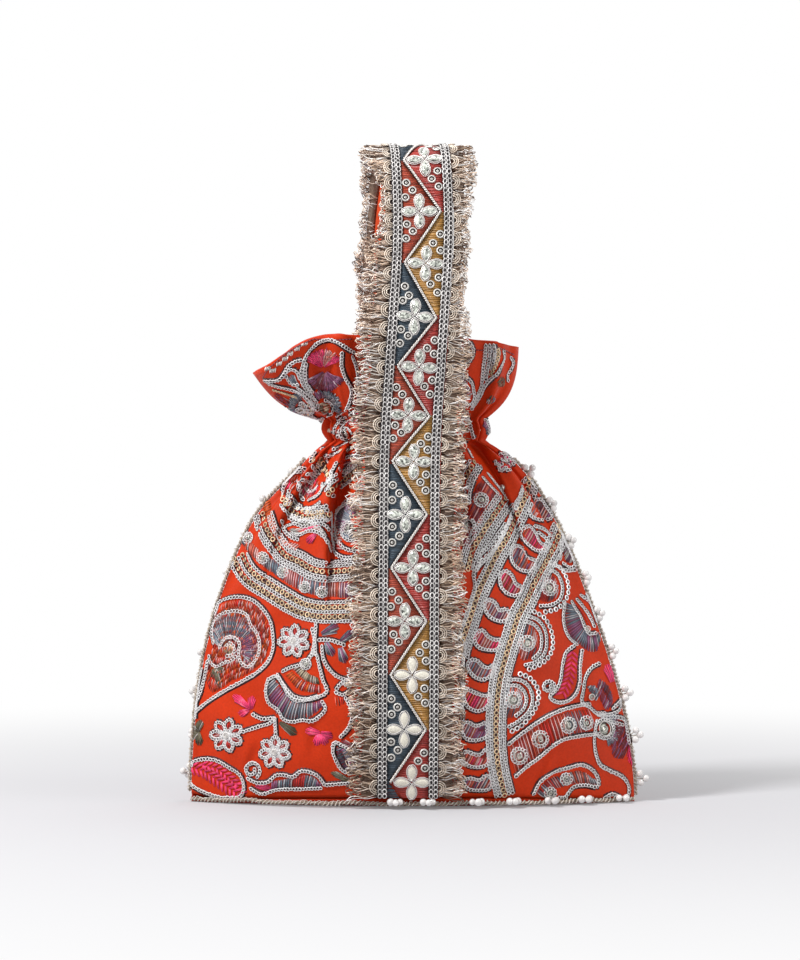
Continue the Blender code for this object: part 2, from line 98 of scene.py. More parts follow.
def seen_directly(tree):
    """1 for rays from the camera, from gloss and through glass, and 0 for the rays that light the bag."""
    rays = make_node(tree, "LightPath", {}).outputs
    either = make_node(tree, "Math", {0: rays["Is Camera Ray"], 1: rays["Is Glossy Ray"]}, operation="MAXIMUM")
    any_ray = {0: either.outputs[0], 1: rays["Is Transmission Ray"]}
    return make_node(tree, "Math", any_ray, operation="MAXIMUM").outputs[0]


def make_floor():
    """A flat square at height 0: mostly lit round the bag, and all its own white far from it."""
    material = bpy.data.materials.new("studio_floor")
    material.use_nodes = True
    tree = material.node_tree
    tree.nodes.clear()
    lit = make_node(tree, "BsdfDiffuse", {"Color": (*[FLOOR_ALBEDO * tint for tint in SHADOW_TINT], 1.0)})
    own = make_node(tree, "Emission", {"Color": WHITE})
    place = make_node(tree, "TexCoord", {})
    distance = make_node(tree, "VectorMath", {0: place.outputs["Object"]}, operation="LENGTH")
    limits = {"From Min": NEAR_DISTANCE, "From Max": FAR_DISTANCE, "To Min": NEAR_SHARE, "To Max": FAR_SHARE}
    limits["Value"] = distance.outputs["Value"]
    ramp = make_node(tree, "MapRange", limits, interpolation_type="SMOOTHSTEP")
    share = make_node(tree, "Math", {0: seen_directly(tree), 1: ramp.outputs["Result"]}, operation="MULTIPLY")
    mix = make_node(tree, "MixShader", {0: share.outputs[0], 1: lit.outputs[0], 2: own.outputs[0]})
    make_node(tree, "OutputMaterial", {"Surface": mix.outputs[0]})
    size = FLOOR_HALF_SIZE
    mesh = bpy.data.meshes.new("studio_floor")
    mesh.from_pydata([(-size, -size, 0), (size, -size, 0), (size, size, 0), (-size, size, 0)], [], [(0, 1, 2, 3)])
    mesh.materials.append(material)
    floor = bpy.data.objects.new("studio_floor", mesh)
    bpy.context.scene.collection.objects.link(floor)


def make_sky():
    """A white sky that lights the bag at one level and is seen at another."""
    world = bpy.data.worlds.new("studio_sky")
    bpy.context.scene.world = world
    world.use_nodes = True
    tree = world.node_tree
    tree.nodes.clear()
    light = make_node(tree, "Background", {"Color": WHITE, "Strength": SKY_LIGHT})
    backdrop = make_node(tree, "Background", {"Color": WHITE})
    mix = make_node(tree, "MixShader", {0: seen_directly(tree), 1: light.outputs[0], 2: backdrop.outputs[0]})
    make_node(tree, "OutputWorld", {"Surface": mix.outputs[0]})


def make_lamp(name, place, size, share):
    """A square soft lamp that adds this share of a fully lit white at the bag's middle."""
    direction = LAMP_TARGET - place
    distance = np.linalg.norm(direction)
    lamp = bpy.data.lights.new(name, "AREA")
    lamp.size = size
    lamp.energy = share * math.pi**2 * distance**2
    rig = bpy.data.objects.new(name, lamp)
    rig.location = place
    pitch = math.acos(-direction[2] / distance)
    heading = math.atan2(direction[1], direction[0]) - math.pi / 2
    rig.rotation_euler = (pitch, 0.0, heading)
    bpy.context.scene.collection.objects.link(rig)


make_floor()
make_sky()
make_lamp("key_lamp", (-1.0, -0.75, 1.45), 0.35, 1.0)
make_lamp("side_lamp", (1.6, -0.7, 0.5), 0.6, 0.3)
make_lamp("top_lamp", (0.2, 0.4, 1.8), 0.8, 0.25)
bpy.context.scene.view_settings.view_transform = "Standard"
print("lamps:", [light.name for light in bpy.data.lights])

# %% [markdown]
# The bag's wall is one formula. A turn of 0 is the right seam and a half turn the left one, and the climb is the
# distance up the cloth, through the casing at the neck and out along the ruffle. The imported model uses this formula
# too, so it is repeated here with the same values, and every stitch can be placed by its turn and climb.

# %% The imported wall
CLOTH = 1.2 * MM
HEM_CLOTH = 2.2 * MM
LINING_CLOTH = 0.8 * MM
SEW_GAP = 0.3 * MM
BASE_HALF_WIDTH = 112.0 * MM
NECK_HALF_WIDTH = 41.0 * MM
BELLY_HALF_DEPTH = 46.0 * MM
NECK_HALF_DEPTH = 18.5 * MM
BODY_HEIGHT = 182.0 * MM
CASING_HEIGHT = 11.0 * MM
CASING_PUFF = 3.0 * MM
SIDE_LEAN = 4.5 * MM
SEAM_LIFT = 4.0 * MM
BASE_ROUND = 4.0 * MM
PLEATS = 7
PLEAT_DEPTH = 2.6 * MM
RUFFLE_LENGTH = 42.0 * MM
HEM_HEIGHT = 4.5 * MM
RUFFLE_WAVES = 2
RUFFLE_WAVE_DEPTH = 3.0 * MM
RUFFLE_TILTS = {"left": 56.0, "right": 29.0, "middle": 11.0}
SEAM_OFFSET = CLOTH + SEW_GAP / 2
NECK_TOP = BODY_HEIGHT + CASING_HEIGHT
RIM = NECK_TOP + RUFFLE_LENGTH
FRONT, BACK = -1, 1


def smooth_ramp(t):
    """0 below 0 and 1 above 1, with level ends."""
    t = np.clip(t, 0.0, 1.0)
    return t * t * (3.0 - 2.0 * t)


def half_width(share):
    """Half the bag's width at a share of the body's height."""
    return NECK_HALF_WIDTH + (BASE_HALF_WIDTH - NECK_HALF_WIDTH) * (1.0 - share**1.85) ** 0.74


def half_depth(share):
    """Half the bag's depth: fullest at the belly, tucked in by a quarter at the base."""
    tuck = 1.0 - 0.24 * np.clip(1.0 - share / 0.35, 0.0, 1.0) ** 2
    return NECK_HALF_DEPTH + (BELLY_HALF_DEPTH * tuck - NECK_HALF_DEPTH) * (1.0 - share**2.2) ** 0.8


def centre_x(share):
    """Middle of the bag's width: it moves left on the way up, and stays there above six tenths of the height."""
    return -SIDE_LEAN * smooth_ramp(share / 0.6)


def pleat_depth(share):
    """Depth of the gathers, which fade out down the body."""
    return PLEAT_DEPTH * smooth_ramp((share - 0.5) / 0.5)


def ruffle_tilt(turn, focus=1.6):
    """Lean of the ruffle away from upright, in radians: most at the left, least in the middle."""
    right = np.clip(np.cos(turn), 0.0, 1.0) ** focus
    left = np.clip(-np.cos(turn), 0.0, 1.0) ** focus
    middle = RUFFLE_TILTS["middle"]
    tilt = middle + (RUFFLE_TILTS["right"] - middle) * right + (RUFFLE_TILTS["left"] - middle) * left
    return np.radians(tilt)


def wall(turn, climb, side, focus=1.6):
    """A lens in plan, pushed out by the gathers, the casing's puff and the ruffle's lean and waves."""
    turn, climb = np.broadcast_arrays(np.asarray(turn, float), np.asarray(climb, float))
    share = np.clip(climb / BODY_HEIGHT, 0.0, 1.0)
    wide, deep = half_width(share), half_depth(share)
    cosine, sine = np.cos(turn), np.abs(np.sin(turn))
    reach = np.hypot(deep * cosine, wide * sine)
    casing = np.clip((climb - BODY_HEIGHT) / CASING_HEIGHT, 0.0, 1.0)
    frill = np.clip(climb - NECK_TOP, 0.0, RUFFLE_LENGTH)
    frill_share = frill / RUFFLE_LENGTH
    tilt = ruffle_tilt(turn, focus)
    gathers = pleat_depth(share) * (1.0 - 0.7 * frill_share) * np.cos(2 * PLEATS * turn)
    waves = RUFFLE_WAVE_DEPTH * frill_share * np.cos(2 * RUFFLE_WAVES * turn + side)
    out = gathers + waves * sine + CASING_PUFF * np.sin(np.pi * casing) + frill * np.sin(tilt)
    x = centre_x(share) + wide * cosine + out * deep * cosine / reach
    y = side * (SEAM_OFFSET + deep * sine ** (2.0 - 0.5 * share**2) + out * wide * sine / reach)
    z = np.minimum(climb, NECK_TOP) + frill * np.cos(tilt)
    return np.stack([x, y, z], axis=-1)


print("neck, in mm:", np.round(wall(np.array([0.0, np.pi]), BODY_HEIGHT, FRONT)[:, 0] / MM, 1).tolist())

# %% [markdown]
# Drawn-up silk falls into a few deep folds and many small ones. A cloth simulation could find such folds, but not
# these ones, and the embroidery has to stay where the photograph shows it. So the folds are modelled directly: each
# deep one follows a line down the panel, where one side of the cloth stands over a hollow on the other. The small
# gathers fade away below the neck, and the whole cloth is a little slack. These folds only move the cloth in and out,
# so the embroidery stays in its place. The shape of this one bag comes after them: its neck is drawn in, its left
# shoulder slopes, one corner is lifted, and the ruffle swells between the neck and its rim. Above the neck the two
# panels meet in a seam.

# %% Folds of the silk
FOLD_CLIMBS = np.array([96.0, 120.0, 142.0, 162.0, 182.0, 193.0]) * MM
DEEP_FOLDS = np.array([  # sideways places at those climbs, then the depths there
    [(-38.0, -37.5, -36.5, -34.0, -30.5, -28.0), (0.0, 6.0, 11.0, 11.5, 7.0, 0.0)],
    [(66.0, 62.0, 57.5, 50.0, 39.0, 35.0), (0.0, 2.0, 4.0, 5.0, 4.0, 0.0)],
    [(-74.0, -69.0, -62.0, -53.0, -41.0, -37.0), (0.0, 1.5, 4.0, 5.5, 3.0, 0.0)],
    [(36.0, 35.0, 33.0, 30.0, 26.5, 25.0), (0.0, 0.8, 2.2, 3.4, 3.2, 0.0)],
    [(-26.0, -26.0, -25.0, -23.5, -22.0, -21.0), (0.0, 0.0, 1.2, 2.4, 2.8, 0.0)],
]) * MM
VALLEY_HALVES = np.array([6.5, 5.5, 6.0, 4.5, 3.0]) * MM
OVERHANGS = (-1, 1, -1, 1, -1)  # the side that stands over each hollow
LOW_WRINKLES = np.array([  # where each small wrinkle starts and ends
    ((56, 8), (67, 27)), ((63, 8), (75, 25)), ((-84, 14), (-78, 34)), ((-51, 22), (-49, 50)), ((-104, 60), (-92, 84))
]) * MM
WRINKLE_HALF, WRINKLE_DEPTH = 2.4 * MM, 1.5 * MM
SLACK = 1.3 * MM
NECK_PINCH, PINCH_CLIMB, PINCH_SPREAD = 0.075, 187 * MM, 11 * MM
LEFT_SLOPE, SLOPE_CLIMB, SLOPE_SPREAD = 6.0 * MM, 168 * MM, 16 * MM
RUFFLE_FOCUS = 2.5
RUFFLE_BELLY = 4.5 * MM
RUFFLE_RIPPLE = 1.3 * MM
RIM_SWELL, SWELL_TURN, SWELL_SPREAD = 6.5 * MM, 2.5, 0.32
RIM_DRAW = 4.0 * MM
SEWN_RISE, SEWN_REACH, SEWN_GAP = 5 * MM, 0.12, 0.03 * MM
LOW_REACH = 30 * MM
FINE_GATHERS = 0.9 * MM
STRAP_CLEARANCE, STRAP_FADE = 17.0 * MM, 9 * MM
CORNER_LIFT, CORNER_START, CORNER_REACH = 3.0 * MM, 97 * MM, 20 * MM


def seam_height(turn):
    """Height of the cloth's underside along the bottom seam."""
    return SEAM_LIFT * np.sin(turn) ** 2


def silk_wall(turn, climb, side, folded=True):
    """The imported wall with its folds: valleys along lines, fine gathers at the neck, and slack as slow waves. Then
    the bag's own shape: belly, swell and drawn tip of the ruffle, pinched neck, left slope, seam and low edge."""
    turn, climb = np.broadcast_arrays(np.asarray(turn, float), np.asarray(climb, float))
    points = wall(turn, climb, side, RUFFLE_FOCUS)
    share = np.clip(climb / BODY_HEIGHT, 0.0, 1.0)
    frill_share = np.clip(climb - NECK_TOP, 0.0, RUFFLE_LENGTH) / RUFFLE_LENGTH
    across = half_width(share) * np.cos(turn)
    clear = smooth_ramp((np.abs(across) - STRAP_CLEARANCE) / STRAP_FADE) * smooth_ramp(np.sin(turn) / 0.25)
    inward = np.zeros_like(climb)
    for (places, depths), half, overhang in zip(DEEP_FOLDS, VALLEY_HALVES, OVERHANGS):
        valley = np.interp(climb, FOLD_CLIMBS, places)
        depth = np.interp(climb, FOLD_CLIMBS, depths)
        past = (-side * across - valley) * -overhang / half
        hollow = smooth_ramp(past / 0.35 + 0.5) * np.exp(-np.clip(past, 0.0, None) ** 1.5)
        inward += depth * (hollow - 0.3 * np.exp(-((past + 0.6) ** 2) / 0.5))
    for start, end in LOW_WRINKLES:
        length = np.linalg.norm(end - start)
        ahead = (end - start) / length
        east, north = -side * across - start[0], climb - start[1]
        along, aside = east * ahead[0] + north * ahead[1], east * ahead[1] - north * ahead[0]
        fade = smooth_ramp(along / (0.4 * length)) * smooth_ramp((length - along) / (0.4 * length))
        crest = np.sin(np.clip(aside / WRINKLE_HALF, -np.pi, np.pi))
        inward += WRINKLE_DEPTH * fade * crest * np.exp(-((aside / (1.6 * WRINKLE_HALF)) ** 2))
    near_neck = smooth_ramp((share - 0.74) / 0.26) * (1.0 - 0.8 * frill_share)
    inward += FINE_GATHERS * near_neck * np.sin(36 * turn + 3 * np.sin(5 * turn) + side)
    ripple = np.sin(9 * turn + 2.2 * np.sin(climb / (17 * MM)) + side) * np.sin(climb / (13 * MM) + 2 * turn)
    inward += SLACK * ripple * (1.0 - near_neck) * smooth_ramp(climb / LOW_REACH)
    inward += RUFFLE_RIPPLE * frill_share * np.sin(17 * turn + 2 * side)
    if folded:
        points[..., 1] -= side * inward * clear
    tilt = ruffle_tilt(turn, RUFFLE_FOCUS)
    belly = RUFFLE_BELLY * np.sin(np.pi * frill_share) * np.abs(np.cos(turn))
    points[..., 0] += belly * np.cos(tilt) * np.cos(turn)
    points[..., 2] -= belly * np.sin(tilt)
    points[..., 2] += RIM_SWELL * frill_share**2 * np.exp(-(((turn - SWELL_TURN) / SWELL_SPREAD) ** 2))
    points[..., 0] -= RIM_DRAW * frill_share * np.clip(np.cos(turn), 0.0, 1.0) ** 2
    pinch = NECK_PINCH * np.exp(-(((climb - PINCH_CLIMB) / PINCH_SPREAD) ** 2))
    points[..., 0] -= pinch * (points[..., 0] - centre_x(share))
    slope = LEFT_SLOPE * np.exp(-(((climb - SLOPE_CLIMB) / SLOPE_SPREAD) ** 2))
    points[..., 0] += slope * np.clip(-np.cos(turn), 0.0, 1.0) ** 2
    sewn_up = smooth_ramp((climb - NECK_TOP - MM) / SEWN_RISE) * np.exp(-((np.sin(turn) / SEWN_REACH) ** 2))
    points[..., 1] -= side * (SEAM_OFFSET - SEWN_GAP) * sewn_up
    if side == FRONT:
        low = np.clip(1.0 - (climb - CLOTH - SEW_GAP) / LOW_REACH, 0.0, 1.0)
        points[..., 2] += seam_height(turn) * low**2
        corner = smooth_ramp((-points[..., 0] - CORNER_START) / CORNER_REACH)
        points[..., 2] += CORNER_LIFT * corner * low
    return points


def silk_frame(turn, climb, side):
    """Points on the meshed silk (on_cloth comes with the panels) and the direction square to it, from small steps."""
    here = on_cloth(turn, climb, side)
    step_along = silk_wall(turn + 1e-3, climb, side) - silk_wall(turn - 1e-3, climb, side)
    step_up = silk_wall(turn, climb + 1e-4, side) - silk_wall(turn, climb - 1e-4, side)
    square = np.cross(step_along, step_up) * side
    return here, square / np.linalg.norm(square, axis=-1, keepdims=True)


print("deep folds:", len(DEEP_FOLDS))

# %% [markdown]
# Every mesh here comes from numpy arrays: a list of corners, and lists of faces with three or four corners. One
# function puts them into a mesh, along with a colour for each corner and a flat map of the cloth where there is one.
# The silk has two faces and a thickness, so a second function lays a grid of points double and walls its edges.

# %% From arrays to pieces
def make_piece(name, corners, faces, material, tints=None, flat_map=None):
    """A smooth mesh from corners (n, 3) and face arrays (m, 3) or (m, 4), riding on the bag."""
    mesh = bpy.data.meshes.new(name)
    faces = [table for table in faces if len(table)]
    loops = np.concatenate([table.ravel() for table in faces]).astype(np.int32)
    sizes = np.concatenate([np.full(len(table), table.shape[1]) for table in faces])
    mesh.vertices.add(len(corners))
    mesh.vertices.foreach_set("co", np.asarray(corners, np.float32).ravel())
    mesh.loops.add(len(loops))
    mesh.loops.foreach_set("vertex_index", loops)
    mesh.polygons.add(len(sizes))
    mesh.polygons.foreach_set("loop_start", (np.cumsum(sizes) - sizes).astype(np.int32))
    mesh.update(calc_edges=True)
    mesh.shade_smooth()
    if tints is not None:
        colours = np.concatenate([tints, np.ones((len(tints), 1))], axis=1)
        tint = mesh.attributes.new("tint", "FLOAT_COLOR", "POINT")
        tint.data.foreach_set("color", colours.astype(np.float32).ravel())
    if flat_map is not None:
        mesh.uv_layers.new(name="flat").data.foreach_set("uv", flat_map[loops].astype(np.float32).ravel())
    mesh.materials.append(material)
    piece = bpy.data.objects.new(name, mesh)
    bpy.context.scene.collection.objects.link(piece)
    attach(piece, "root")
    print(f"{name}: {int((sizes - 2).sum())} triangles")
    return piece


def grid_quads(rows, columns, closed=False):
    """Corner numbers of the quads between neighbouring rows and columns of a grid."""
    row, column = np.mgrid[0 : rows - 1, 0 : columns if closed else columns - 1]
    after = (column + 1) % columns
    quads = [row * columns + column, row * columns + after, (row + 1) * columns + after, (row + 1) * columns + column]
    return np.stack(quads, axis=-1).reshape(-1, 4)


def double_layer(points, thickness, side, closed=False):
    """Corners and faces of a cloth: the outer grid, the same grid moved in square to it, and walls at its edges."""
    rows, columns = points.shape[:2]
    wrapped = np.concatenate([points[:, -1:], points, points[:, :1]], axis=1) if closed else points
    along = np.gradient(wrapped, axis=1)
    along = along[:, 1:-1] if closed else along
    square = np.cross(along, np.gradient(points, axis=0)) * side
    square /= np.maximum(np.linalg.norm(square, axis=-1, keepdims=True), 1e-12)
    inner = points - square * np.broadcast_to(thickness, points.shape[:2])[..., None]
    corners = np.concatenate([points.reshape(-1, 3), inner.reshape(-1, 3)])
    outside = grid_quads(rows, columns, closed)
    size = rows * columns
    column = np.arange(columns if closed else columns - 1)
    after = (column + 1) % columns
    top = (rows - 1) * columns
    edges = [np.stack([after, column, column + size, after + size], axis=-1)]
    edges.append(np.stack([top + column, top + after, top + after + size, top + column + size], axis=-1))
    if not closed:
        first = np.arange(rows - 1) * columns
        last = first + columns - 1
        edges.append(np.stack([first, first + columns, first + columns + size, first + size], axis=-1))
        edges.append(np.stack([last + columns, last, last + size, last + columns + size], axis=-1))
    faces = np.concatenate([outside, outside[:, ::-1] + size, *edges])
    return corners, faces if side == BACK else faces[:, ::-1]


def surface_area(points):
    """Area of a grid, from the two triangles of each of its quads."""
    a, b, c, d = points[:-1, :-1], points[:-1, 1:], points[1:, 1:], points[1:, :-1]
    halves = np.linalg.norm(np.cross(b - a, c - a), axis=-1) + np.linalg.norm(np.cross(c - a, d - a), axis=-1)
    return halves.sum() / 2


def unit(vectors):
    """Vectors of the same directions, each with a length of 1."""
    return vectors / np.maximum(np.linalg.norm(vectors, axis=-1, keepdims=True), 1e-12)


print("piece makers ready")

# %% [markdown]
# The finishes are few: matt silk with a fine weave, embroidery thread with a soft gloss, metal thread that glints,
# pearl and mirror. A thread's colour is in its mesh, so one material serves every colour of the same yarn. Each adds
# what the real yarn shows up close: fibres, as a fine bump and as small changes of colour.

# %% Finishes
def start_material(name, roughness, metallic=0.0):
    """A new material, its nodes and its main shader, which has this roughness and this share of metal."""
    material = bpy.data.materials.new(name)
    material.use_nodes = True
    shader = material.node_tree.nodes["Principled BSDF"]
    shader.inputs["Roughness"].default_value = roughness
    shader.inputs["Metallic"].default_value = metallic
    return material, material.node_tree, shader


def noise(tree, source, scale, detail=2.0):
    """Cloudy noise over a place, about this many clouds to the metre, with finer ones on top."""
    return make_node(tree, "TexNoise", {"Vector": source, "Scale": scale, "Detail": detail}).outputs["Fac"]


def spread(tree, value, low, high):
    """A value from 0.3 to 0.7, as noise mostly is, carried onto the range from low to high."""
    limits = {"Value": value, "From Min": 0.3, "From Max": 0.7, "To Min": low, "To Max": high}
    return make_node(tree, "MapRange", limits).outputs["Result"]


def shaded(tree, colour, factor):
    """A colour, darker or lighter by a factor."""
    return make_node(tree, "VectorMath", {0: colour, "Scale": factor}, operation="SCALE").outputs[0]


def bump(tree, shader, height, distance, strength=1.0):
    """Relief by shading alone: a height of 1 stands for this distance, softened by the strength."""
    relief = make_node(tree, "Bump", {"Height": height, "Distance": distance, "Strength": strength})
    tree.links.new(relief.outputs["Normal"], shader.inputs["Normal"])


def yarn(name, roughness, metallic, grain, variation, distance=0.00012):
    """Thread coloured by its mesh, with fibres as fine noise in its colour and its height."""
    material, tree, shader = start_material(name, roughness, metallic)
    tint = make_node(tree, "Attribute", {}, attribute_name="tint")
    fibres = noise(tree, make_node(tree, "TexCoord", {}).outputs["Object"], grain, 3.0)
    factor = spread(tree, fibres, 1.0 - variation, 1.0 + variation)
    tree.links.new(shaded(tree, tint.outputs["Color"], factor), shader.inputs["Base Color"])
    bump(tree, shader, fibres, distance)
    return material


def weave(tree, pitch, direction):
    """Threads of a plain weave as waves across the cloth's flat map. At scale 1 a wave is 0.314 m long."""
    flat = make_node(tree, "UVMap", {}, uv_map="flat")
    waves = {"Vector": flat.outputs[0], "Scale": 0.314 / pitch, "Distortion": 0.6, "Detail Scale": 2.0}
    return make_node(tree, "TexWave", waves, bands_direction=direction).outputs["Fac"]


def silk_cloth(name, colour, roughness, pitch):
    """Woven silk: two sets of threads as bump, and slow and fine changes of tone."""
    material, tree, shader = start_material(name, roughness)
    place = make_node(tree, "TexCoord", {}).outputs["Object"]
    base = make_node(tree, "RGB", {}).outputs[0]
    base.default_value = (*colour, 1.0)
    tone = spread(tree, noise(tree, place, 38.0), 0.9, 1.08)
    slubs = spread(tree, noise(tree, place, 900.0, 1.0), 0.93, 1.07)
    both = make_node(tree, "Math", {0: tone, 1: slubs}, operation="MULTIPLY").outputs[0]
    tree.links.new(shaded(tree, base, both), shader.inputs["Base Color"])
    shader.inputs["Specular IOR Level"].default_value = 0.15
    threads = make_node(tree, "Math", {0: weave(tree, pitch, "X"), 1: weave(tree, pitch, "Y")}, operation="MAXIMUM")
    bump(tree, shader, threads.outputs[0], 0.00006, 0.6)
    return material


def hard_gloss(name, roughness, metallic, grain, coat, distance=0.00008):
    """Pearl, crystal or metal, coloured by its mesh, with an uneven surface under a clear coat."""
    material = yarn(name, roughness, metallic, grain, 0.12, distance)
    material.node_tree.nodes["Principled BSDF"].inputs["Coat Weight"].default_value = coat
    return material


def facet_light(material, pitch):
    """Painted reflections: small facets as cells of one grey each, light or dark as what each would mirror, scaling the
    colour.
    """
    tree = material.node_tree
    base = tree.nodes["Principled BSDF"].inputs["Base Color"]
    place = tree.nodes["Texture Coordinate"].outputs["Object"]
    cells = make_node(tree, "TexVoronoi", {"Vector": place, "Scale": 1.0 / pitch})
    grey = make_node(tree, "SeparateColor", {0: cells.outputs["Color"]})
    ramp = make_node(tree, "MapRange", {"Value": grey.outputs[0], "To Min": 0.1, "To Max": 2.0})
    tree.links.new(shaded(tree, base.links[0].from_socket, ramp.outputs["Result"]), base)


SILK_RED = (0.56, 0.033, 0.003)
silk = silk_cloth("vermilion_silk", SILK_RED, 0.5, 0.45 * MM)
lining_silk = silk_cloth("orange_lining", (0.60, 0.07, 0.02), 0.55, 0.4 * MM)
cotton_yarn = yarn("cotton_yarn", 0.55, 0.0, 2600.0, 0.1)
silk_floss = yarn("silk_floss", 0.38, 0.0, 2200.0, 0.22)
metal_yarn = yarn("metal_yarn", 0.36, 0.3, 2400.0, 0.25)
pearl_glass = hard_gloss("pearl_glass", 0.22, 0.0, 500.0, coat=0.5)
mirror_glass = hard_gloss("mirror_glass", 0.2, 0.35, 700.0, coat=0.4, distance=0.0004)
facet_light(mirror_glass, 0.9 * MM)
print("finishes:", len(bpy.data.materials))

# %% [markdown]
# The front panel is one cloth from the bottom seam to the rim. The back panel goes on under the bag as its flat
# underside, up to the same seam. At the rim each cloth is folded over, so it is thicker there. The flat map follows
# the cloth, so the weave bends with it. Later every stitch is placed on these same grids, so that none sinks in.

# %% Front and back panels
PANEL_COLUMNS = 172
BACK_COLUMNS = 138
BODY_ROWS = 116
UNDERSIDE_ROWS = 14


def panel_flat_map(points):
    """Distances along and up the cloth at each corner of the grid, in metres."""
    along = np.linalg.norm(np.diff(points, axis=1, prepend=points[:, :1]), axis=-1).cumsum(axis=1)
    along -= along[:, -1:] / 2
    up = np.linalg.norm(np.diff(points, axis=0, prepend=points[:1]), axis=-1).cumsum(axis=0)
    flat = np.stack([along, up], axis=-1).reshape(-1, 2)
    return np.concatenate([flat, flat])


def cloth_thickness(climbs):
    """Single cloth, and double where it is folded over at the rim."""
    folded = smooth_ramp((climbs - (RIM - HEM_HEIGHT)) / (0.6 * MM))
    return (CLOTH + (HEM_CLOTH - CLOTH) * folded)[:, None]


turns = np.linspace(0.0, np.pi, PANEL_COLUMNS)[None, :]
front_climbs = np.linspace(CLOTH + SEW_GAP, RIM, BODY_ROWS)
front_grid = silk_wall(turns, front_climbs[:, None], FRONT)
corners, faces = double_layer(front_grid, cloth_thickness(front_climbs), FRONT)
front_silk = make_piece("front_silk", corners, [faces], silk, flat_map=panel_flat_map(front_grid))
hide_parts("front_panel")

back_turns = np.linspace(0.0, np.pi, BACK_COLUMNS)[None, :]
back_climbs = np.linspace(BASE_ROUND, RIM, BODY_ROWS)
back_upright = silk_wall(back_turns, back_climbs[:, None], BACK)
front_foot = wall(back_turns[0], 0.0, FRONT)
back_foot = wall(back_turns[0], 0.0, BACK)
back_foot[:, 1] -= np.minimum(BASE_ROUND, 0.3 * back_foot[:, 1])
shares = np.linspace(0.0, 1.0, UNDERSIDE_ROWS)[:, None, None]
underside = front_foot + (back_foot - front_foot) * shares
underside[..., 2] = seam_height(back_turns) * np.clip(1.0 - shares[..., 0] / 0.12, 0.0, 1.0)
back_grid = np.concatenate([underside, back_upright])
thick = np.concatenate([np.full((UNDERSIDE_ROWS, 1), CLOTH), cloth_thickness(back_climbs)])
corners, faces = double_layer(back_grid, thick, BACK)
back_silk = make_piece("back_silk", corners, [faces], silk, flat_map=panel_flat_map(back_grid))
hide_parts("back_panel")
print("cloth areas in m2:", round(surface_area(front_grid), 4), round(surface_area(back_grid), 4))


def on_cloth(turn, climb, side):
    """Points on the silk as it is meshed, between the four nearest corners of its grid, so that no stitch sinks in."""
    front, back = (front_grid, front_climbs, turns), (back_upright, back_climbs, back_turns)
    grid, climbs, columns = front if side == FRONT else back
    column = np.interp(turn, columns[0], np.arange(grid.shape[1]))
    row = np.interp(climb, climbs, np.arange(BODY_ROWS))
    left, low = np.minimum(column.astype(int), grid.shape[1] - 2), np.minimum(row.astype(int), BODY_ROWS - 2)
    x, y = (column - left)[:, None], (row - low)[:, None]
    under = grid[low, left] * (1 - x) + grid[low, left + 1] * x
    over = grid[low + 1, left] * (1 - x) + grid[low + 1, left + 1] * x
    return under * (1 - y) + over * y


# %% [markdown]
# Inside hangs the lining, a smooth bag that covers the backs of all the stitches, and the cord that keeps the neck
# drawn in runs round it in its channel. They hardly show, but they are there when somebody looks into the mouth.

# %% Lining and neck cord
TIP_EASE = 1.8
NECK_CORD_RADIUS = 1.2 * MM
LINING_COLUMNS = 96
LINING_EASE, FOLD_ROOM = 1.6 * MM, 7 * MM
STRAND_RADIUS = 0.6 * MM


def inner_ring(climbs, inset, columns):
    """Smooth closed rings inside the pleats of both panels, inset from their valleys."""
    turn = np.linspace(0.0, 2 * np.pi, columns, endpoint=False)
    climbs, inset = np.broadcast_arrays(np.atleast_1d(climbs)[:, None], np.atleast_1d(inset)[:, None])
    share = np.clip(climbs / BODY_HEIGHT, 0.0, 1.0)
    shrink = pleat_depth(share) + inset
    across = (half_width(share) - TIP_EASE * shrink) * np.cos(turn)
    out = (half_depth(share) - shrink) * np.sign(np.sin(turn)) * np.abs(np.sin(turn)) ** (2.0 - 0.5 * share**2)
    return np.stack([centre_x(share) + across, out, np.broadcast_to(climbs, across.shape)], axis=-1)


def lining_inset(climbs):
    """Room inside the silk: for its deep folds on the way up, and for the cord at the neck."""
    beside_cord = smooth_ramp((climbs - 0.8 * BODY_HEIGHT) / (0.2 * BODY_HEIGHT))
    folds = FOLD_ROOM * smooth_ramp((climbs - 88 * MM) / (40 * MM)) * smooth_ramp((188 * MM - climbs) / (30 * MM))
    return CLOTH + LINING_EASE + (2 * NECK_CORD_RADIUS + SEW_GAP) * beside_cord + folds


lining_climbs = np.concatenate([np.linspace(5 * MM, BODY_HEIGHT, 40), [BODY_HEIGHT + CASING_HEIGHT / 2, NECK_TOP]])
rings = inner_ring(lining_climbs, lining_inset(lining_climbs), LINING_COLUMNS)
closing = np.linspace(0.02, 0.94, 12)[:, None, None] ** 0.5
middle = rings[0].mean(axis=0)
floor_rings = middle + (rings[0] - middle) * closing * np.array([1.0, 0.95, 0.0])
floor_rings[..., 2] = CLOTH + 2 * SEW_GAP
lining_grid = np.concatenate([floor_rings, rings])
corners, faces = double_layer(lining_grid, LINING_CLOTH, BACK, closed=True)
lining = make_piece("lining", corners, [faces], lining_silk, flat_map=panel_flat_map(lining_grid))
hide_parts("lining_bag")
print("lining area in m2:", round(surface_area(np.concatenate([lining_grid, lining_grid[:, :1]], axis=1)), 4))


def cap_fan(sides):
    """Triangles that close a ring of corners, all of them from its first corner."""
    return np.stack([np.zeros(sides - 2, int), np.arange(1, sides - 1), np.arange(2, sides)], axis=-1)


